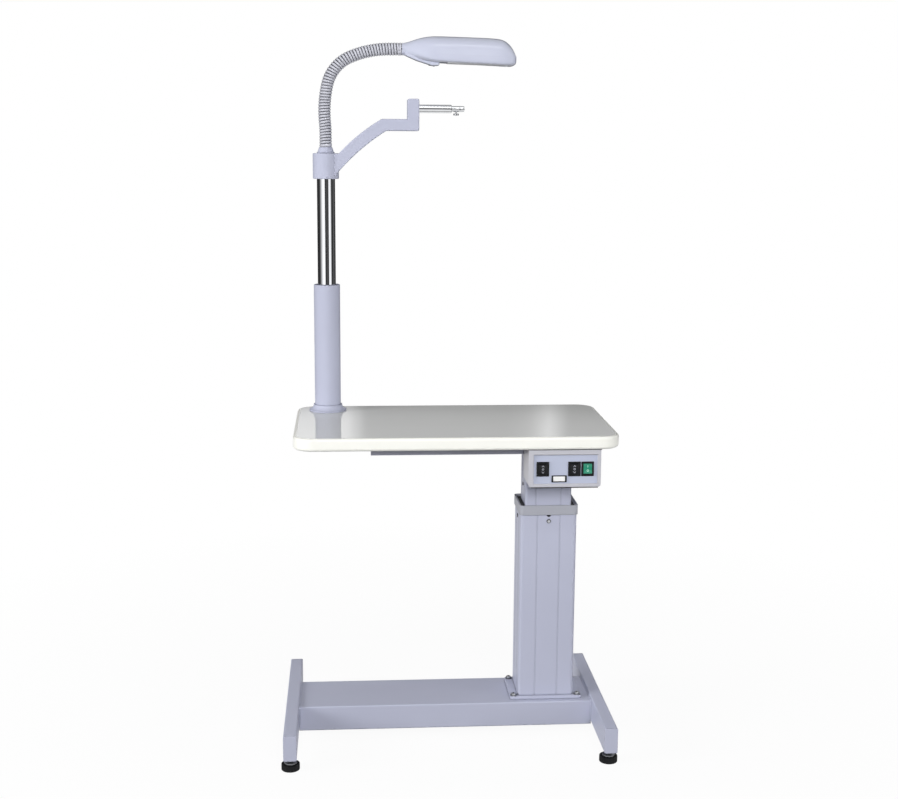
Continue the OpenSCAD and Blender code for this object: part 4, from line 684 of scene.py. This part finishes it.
# Gooseneck: a flexible metal hose wound from round wire over a darker sleeve, so it shows light ribs with
# dark gaps; the sleeve's dark colour is partly painted shade in those gaps. It rises from the cone, bends
# over to the right and ends straight in the lamp.
neck_d, wire_r, sleeve_r = 0.0305, 0.0031, 0.0137
neck_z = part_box("lamp_cone")[1].z
neck_runs = [(0.031, 0), (0.312 * math.radians(5), -5), (0.285 * math.radians(18), 18),
             (0.0936 * math.radians(54), 54), (0.242 * math.radians(22.5), 22.5), (0.031, 0)]
neck_len = sum(run for run, _ in neck_runs)
windings, fine_step, sleeve_step = 53, 0.00032, 0.004


def along_neck(gap):
    """Places down the gooseneck's middle, about a gap apart, each with its heading from upright."""
    x, z, heading, places = post_x, neck_z, 0.0, []
    for run, bend in neck_runs:
        steps = max(1, round(run / gap))
        for _ in range(steps):
            places.append((x, z, heading))
            middle = heading + math.radians(bend) / steps / 2
            x, z = x + run / steps * math.sin(middle), z + run / steps * math.cos(middle)
            heading += math.radians(bend) / steps
    return places + [(x, z, heading)]


wire_metal, tree, shader = new_finish("satin_chromed_wire", "#C8C9D2", 0.36, 0.3)
mottle(tree, shader, 40.0, 3.0, "#C0C1CB", "#D0D1DA")
# Painted shade in part: the sleeve is dark to deepen the shade in the gaps between the windings
sleeve_and_gap_shade, tree, shader = new_finish("oiled_steel_sleeve", "#3A3B42", 0.5, 0.3)
mottle(tree, shader, 90.0, 3.0, "#303138", "#484950")


def round_neck(place, angle):
    """The wire's middle where the winding has turned by an angle at this place."""
    x, z, heading = place
    out = ring_r * math.cos(angle)
    return (x + out * math.cos(heading), post_y + ring_r * math.sin(angle), z - out * math.sin(heading))


places = along_neck(fine_step)
ring_r, coil = neck_d / 2 - wire_r, []
first = next(i for i in range(len(places)) if i / len(places) * neck_len > wire_r)
per_place, ring_steps = 2 * math.pi * windings / (len(places) - 1), 40
# The winding starts and ends with one closed turn, as on a ground spring
for k in range(ring_steps):
    coil.append(round_neck(places[first], per_place * first - 2 * math.pi * (1 - k / ring_steps)))
for i in range(first, len(places) - first):
    coil.append(round_neck(places[i], per_place * i))
for k in range(1, ring_steps + 1):
    last_turn = per_place * (len(places) - first - 1)
    coil.append(round_neck(places[-first - 1], last_turn + 2 * math.pi * k / ring_steps))
wire = swept_tube("gooseneck_wire", coil, wire_r, 2, wire_metal)
sleeve_line = [(x, post_y, z) for x, z, _ in along_neck(sleeve_step)]
sleeve = swept_tube("gooseneck_sleeve", sleeve_line, sleeve_r, 6, sleeve_and_gap_shade)
for piece in (wire, sleeve):
    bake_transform(piece)
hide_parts("gooseneck")

# Lamp head: two moulded ABS half shells that meet in a seam falling from the neck and then running
# level to the nose. The mould is polished, so the skin has a soft gloss.
lamp_plastic, tree, shader = new_finish("moulded_abs", "#C3C7DA", 0.2)
place, _ = mottle(tree, shader, 9.0, 2.0, "#C0C4D7", "#C8CCDE")
flow = add_node(tree, "TexNoise", {"Vector": place, "Scale": 1 / 0.01, "Detail": 1.0})
relief = add_node(tree, "Bump", {"Height": flow.outputs["Fac"], "Strength": 0.03, "Distance": 0.0004})
tree.links.new(relief.outputs["Normal"], shader.inputs["Normal"])
shader.inputs["Coat Weight"].default_value = 0.3
shader.inputs["Coat Roughness"].default_value = 0.2
end_x, end_z, _ = along_neck(fine_step)[-1]
droop = math.radians(1.5)
head_len, head_w, head_top, head_bottom, neck_r, seam_drop = 0.276, 0.076, 0.0335, 0.0295, 0.0144, 0.012
# Share of the length, half width, height, depth and seam drop, then the squareness above and below
head_rings = [
    (0.0, 0, 0, 0, 0, 2, 2), (0.03, 0.02, 0.03, 0.02, 0.04, 2, 2), (0.08, 0.16, 0.28, 0.25, 0.16, 2, 2.1),
    (0.13, 0.38, 0.56, 0.5, 0.36, 2.1, 2.3), (0.19, 0.64, 0.81, 0.76, 0.62, 2.2, 2.8),
    (0.26, 0.86, 0.96, 0.9, 0.86, 2.3, 4), (0.33, 0.97, 0.99, 0.94, 1, 2.4, 5), (0.46, 1, 1, 0.96, 1, 2.5, 6),
    (0.65, 1, 1, 1.01, 1, 2.5, 6), (0.84, 0.98, 0.99, 1.06, 1, 2.5, 6), (0.89, 0.94, 0.77, 1.09, 1, 2.5, 6),
    (0.93, 0.86, 0.4, 1.11, 1, 2.4, 5), (0.965, 0.72, -0.2, 1.08, 1, 2.3, 4.5),
    (0.985, 0.56, -0.78, 0.96, 1, 2.2, 4), (1.0, 0.34, -1.32, 0.62, 1, 2, 3)]
at_head = Matrix.Translation((end_x, post_y, end_z)) @ Matrix.Rotation(droop, 4, "Y")
round_steps, cut_foot, shell_t, neck_room = 16, -0.06, 0.0022, 0.0001


def half_shell(upper):
    """One half of the head as rings from the neck to the nose, open along the seam."""
    shell = bmesh.new()
    rings = []
    for along, wide, high, deep, seam_share, square_up, square_down in head_rings:
        seam = -seam_share * seam_drop
        half = neck_r + wide * (head_w / 2 - neck_r)
        rise = neck_r + high * (head_top - neck_r) - seam
        fall = neck_r + deep * (head_bottom - neck_r) + seam
        power = 2 / (square_up if upper else square_down)
        ring = []
        for k in range(round_steps + 1):
            angle = math.pi * k / round_steps
            y = half * math.copysign(abs(math.cos(angle)) ** power, math.cos(angle))
            z = (rise if upper else -fall) * math.sin(angle) ** power
            ring.append(shell.verts.new((neck_room + along * head_len, y, seam + z)))
        rings.append([shell.edges.new(pair) for pair in zip(ring, ring[1:])])
    for near, far in zip(rings, rings[1:]):
        bmesh.ops.bridge_loops(shell, edges=near + far)
    nose = [e.verts[0] for e in rings[-1]] + [rings[-1][-1].verts[1]]
    shell.faces.new(nose)
    bmesh.ops.transform(shell, matrix=at_head, verts=shell.verts)
    bmesh.ops.recalc_face_normals(shell, faces=shell.faces)
    if sum(f.normal.z for f in shell.faces) * (1 if upper else -1) < 0:
        bmesh.ops.reverse_faces(shell, faces=shell.faces)
    return shell


def block(low, high):
    """A closed block in the head's own axes, as a tool that cuts."""
    shape = bmesh.new()
    bmesh.ops.create_cube(shape, size=1, matrix=at_head @ Matrix.Translation((Vector(low) + Vector(high)) / 2)
                          @ Matrix.Diagonal((*(Vector(high) - Vector(low)), 1)))
    return add_object(shape, "cutter")


def window_hole():
    """The opening for the diffuser, from 40 to 93.5 % of the head's length."""
    half, below_seam = 0.33 * head_w, 0.004
    return block((0.4 * head_len, -half, cut_foot), (0.935 * head_len, half, -seam_drop - below_seam))


def rocker_slot():
    """The slot for the lamp's rocker."""
    middle, half_len, half_w, roof = 0.265 * head_len, 0.0078, 0.0051, -0.019
    return block((middle - half_len, -half_w, cut_foot), (middle + half_len, half_w, roof))


def cut_open(piece, *tools):
    """Cuts the tools out of a piece and leaves it as a plain mesh."""
    for tool in tools:
        cut = piece.modifiers.new("cut", "BOOLEAN")
        cut.operation, cut.solver, cut.object = "DIFFERENCE", "EXACT", tool
    whole = piece.evaluated_get(bpy.context.evaluated_depsgraph_get())
    piece.data = bpy.data.meshes.new_from_object(whole)
    piece.modifiers.clear()
    for tool in tools:
        bpy.data.objects.remove(tool)


for upper, node in ((True, "lamp_upper_shell"), (False, "lamp_lower_shell")):
    shell = add_object(half_shell(upper), node.replace("lamp", "lamp_head"), lamp_plastic)
    shell.data.shade_smooth()
    smooth = shell.modifiers.new("smooth", "SUBSURF")
    smooth.levels = smooth.render_levels = 2
    wall = shell.modifiers.new("wall", "SOLIDIFY")
    wall.thickness, wall.offset = shell_t, -1
    if not upper:
        cut_open(shell, window_hole(), rocker_slot())
    lip = shell.modifiers.new("lip", "BEVEL")
    lip.width, lip.segments, lip.limit_method, lip.angle_limit = 0.0006, 2, "ANGLE", math.radians(60)
    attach(shell, "lamp_head")
    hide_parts(node)

# Switch pod: the part of the lower shell that drops below its rear and holds the rocker.
pod_w, pod_low = 0.03, head_bottom + 0.007
pod_from, pod_mid, pod_to = 0.03 * head_len, 0.13 * head_len, 0.33 * head_len
side = [(pod_from, -neck_r / 2), (pod_from, -neck_r), (pod_mid, (-neck_r - pod_low) / 2),
        (pod_to - pod_w / 2, -pod_low), (pod_to - 0.0015, -pod_low + 0.0015), (pod_to, -pod_low + 0.003),
        (pod_to, -neck_r)]
shape = bmesh.new()
thicken(shape, [(x, -pod_w / 2, z) for x, z in side], (0, pod_w, 0))
bmesh.ops.recalc_face_normals(shape, faces=shape.faces)
rims = [e for e in shape.edges if e.calc_face_angle(0) > 0.3]
bmesh.ops.bevel(shape, geom=rims, offset=0.0025, segments=4, profile=0.5, affect="EDGES", material=-1)
bmesh.ops.transform(shape, matrix=at_head, verts=shape.verts)
pod = add_object(shape, "lamp_switch_pod", lamp_plastic)
cut_open(pod, rocker_slot())
pod.data.shade_smooth()
pod.data.set_sharp_from_angle(angle=math.radians(50))
even = pod.modifiers.new("even_shading", "WEIGHTED_NORMAL")
even.keep_sharp = True
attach(pod, "lamp_head")
dress(black_plastic, "lamp_rocker")

# Diffuser: a moulded opal acrylic plate in the lower shell's window, which spreads the tube's light.
opal, tree, shader = new_finish("opal_acrylic", "#DADCDF", 0.45)
place = add_node(tree, "TexCoord").outputs["Object"]
prism = add_node(tree, "TexWave", {"Vector": place, "Scale": 1 / 0.012, "Distortion": 0.0},
                 bands_direction="X")
relief = add_node(tree, "Bump", {"Height": prism.outputs["Fac"], "Strength": 0.4, "Distance": 0.0006})
tree.links.new(relief.outputs["Normal"], shader.inputs["Normal"])
tone = add_node(tree, "Mix", {"Factor": prism.outputs["Fac"], "A": linear("#D3D5D8"), "B": linear("#E0E2E5")},
                data_type="RGBA")
tree.links.new(tone.outputs["Result"], shader.inputs["Base Color"])
dress(opal, "lamp_diffuser")

# Fluorescent tube and its holder, behind the diffuser: white coated glass and a white moulded base.
glass, tree, shader = new_finish("phosphor_coated_glass", "#F2F4F7", 0.12)
mottle(tree, shader, 300.0, 2.0, "#EDEFF3", "#F7F8FB")
dress(glass, "lamp_tube")
dress(label, "lamp_holder")
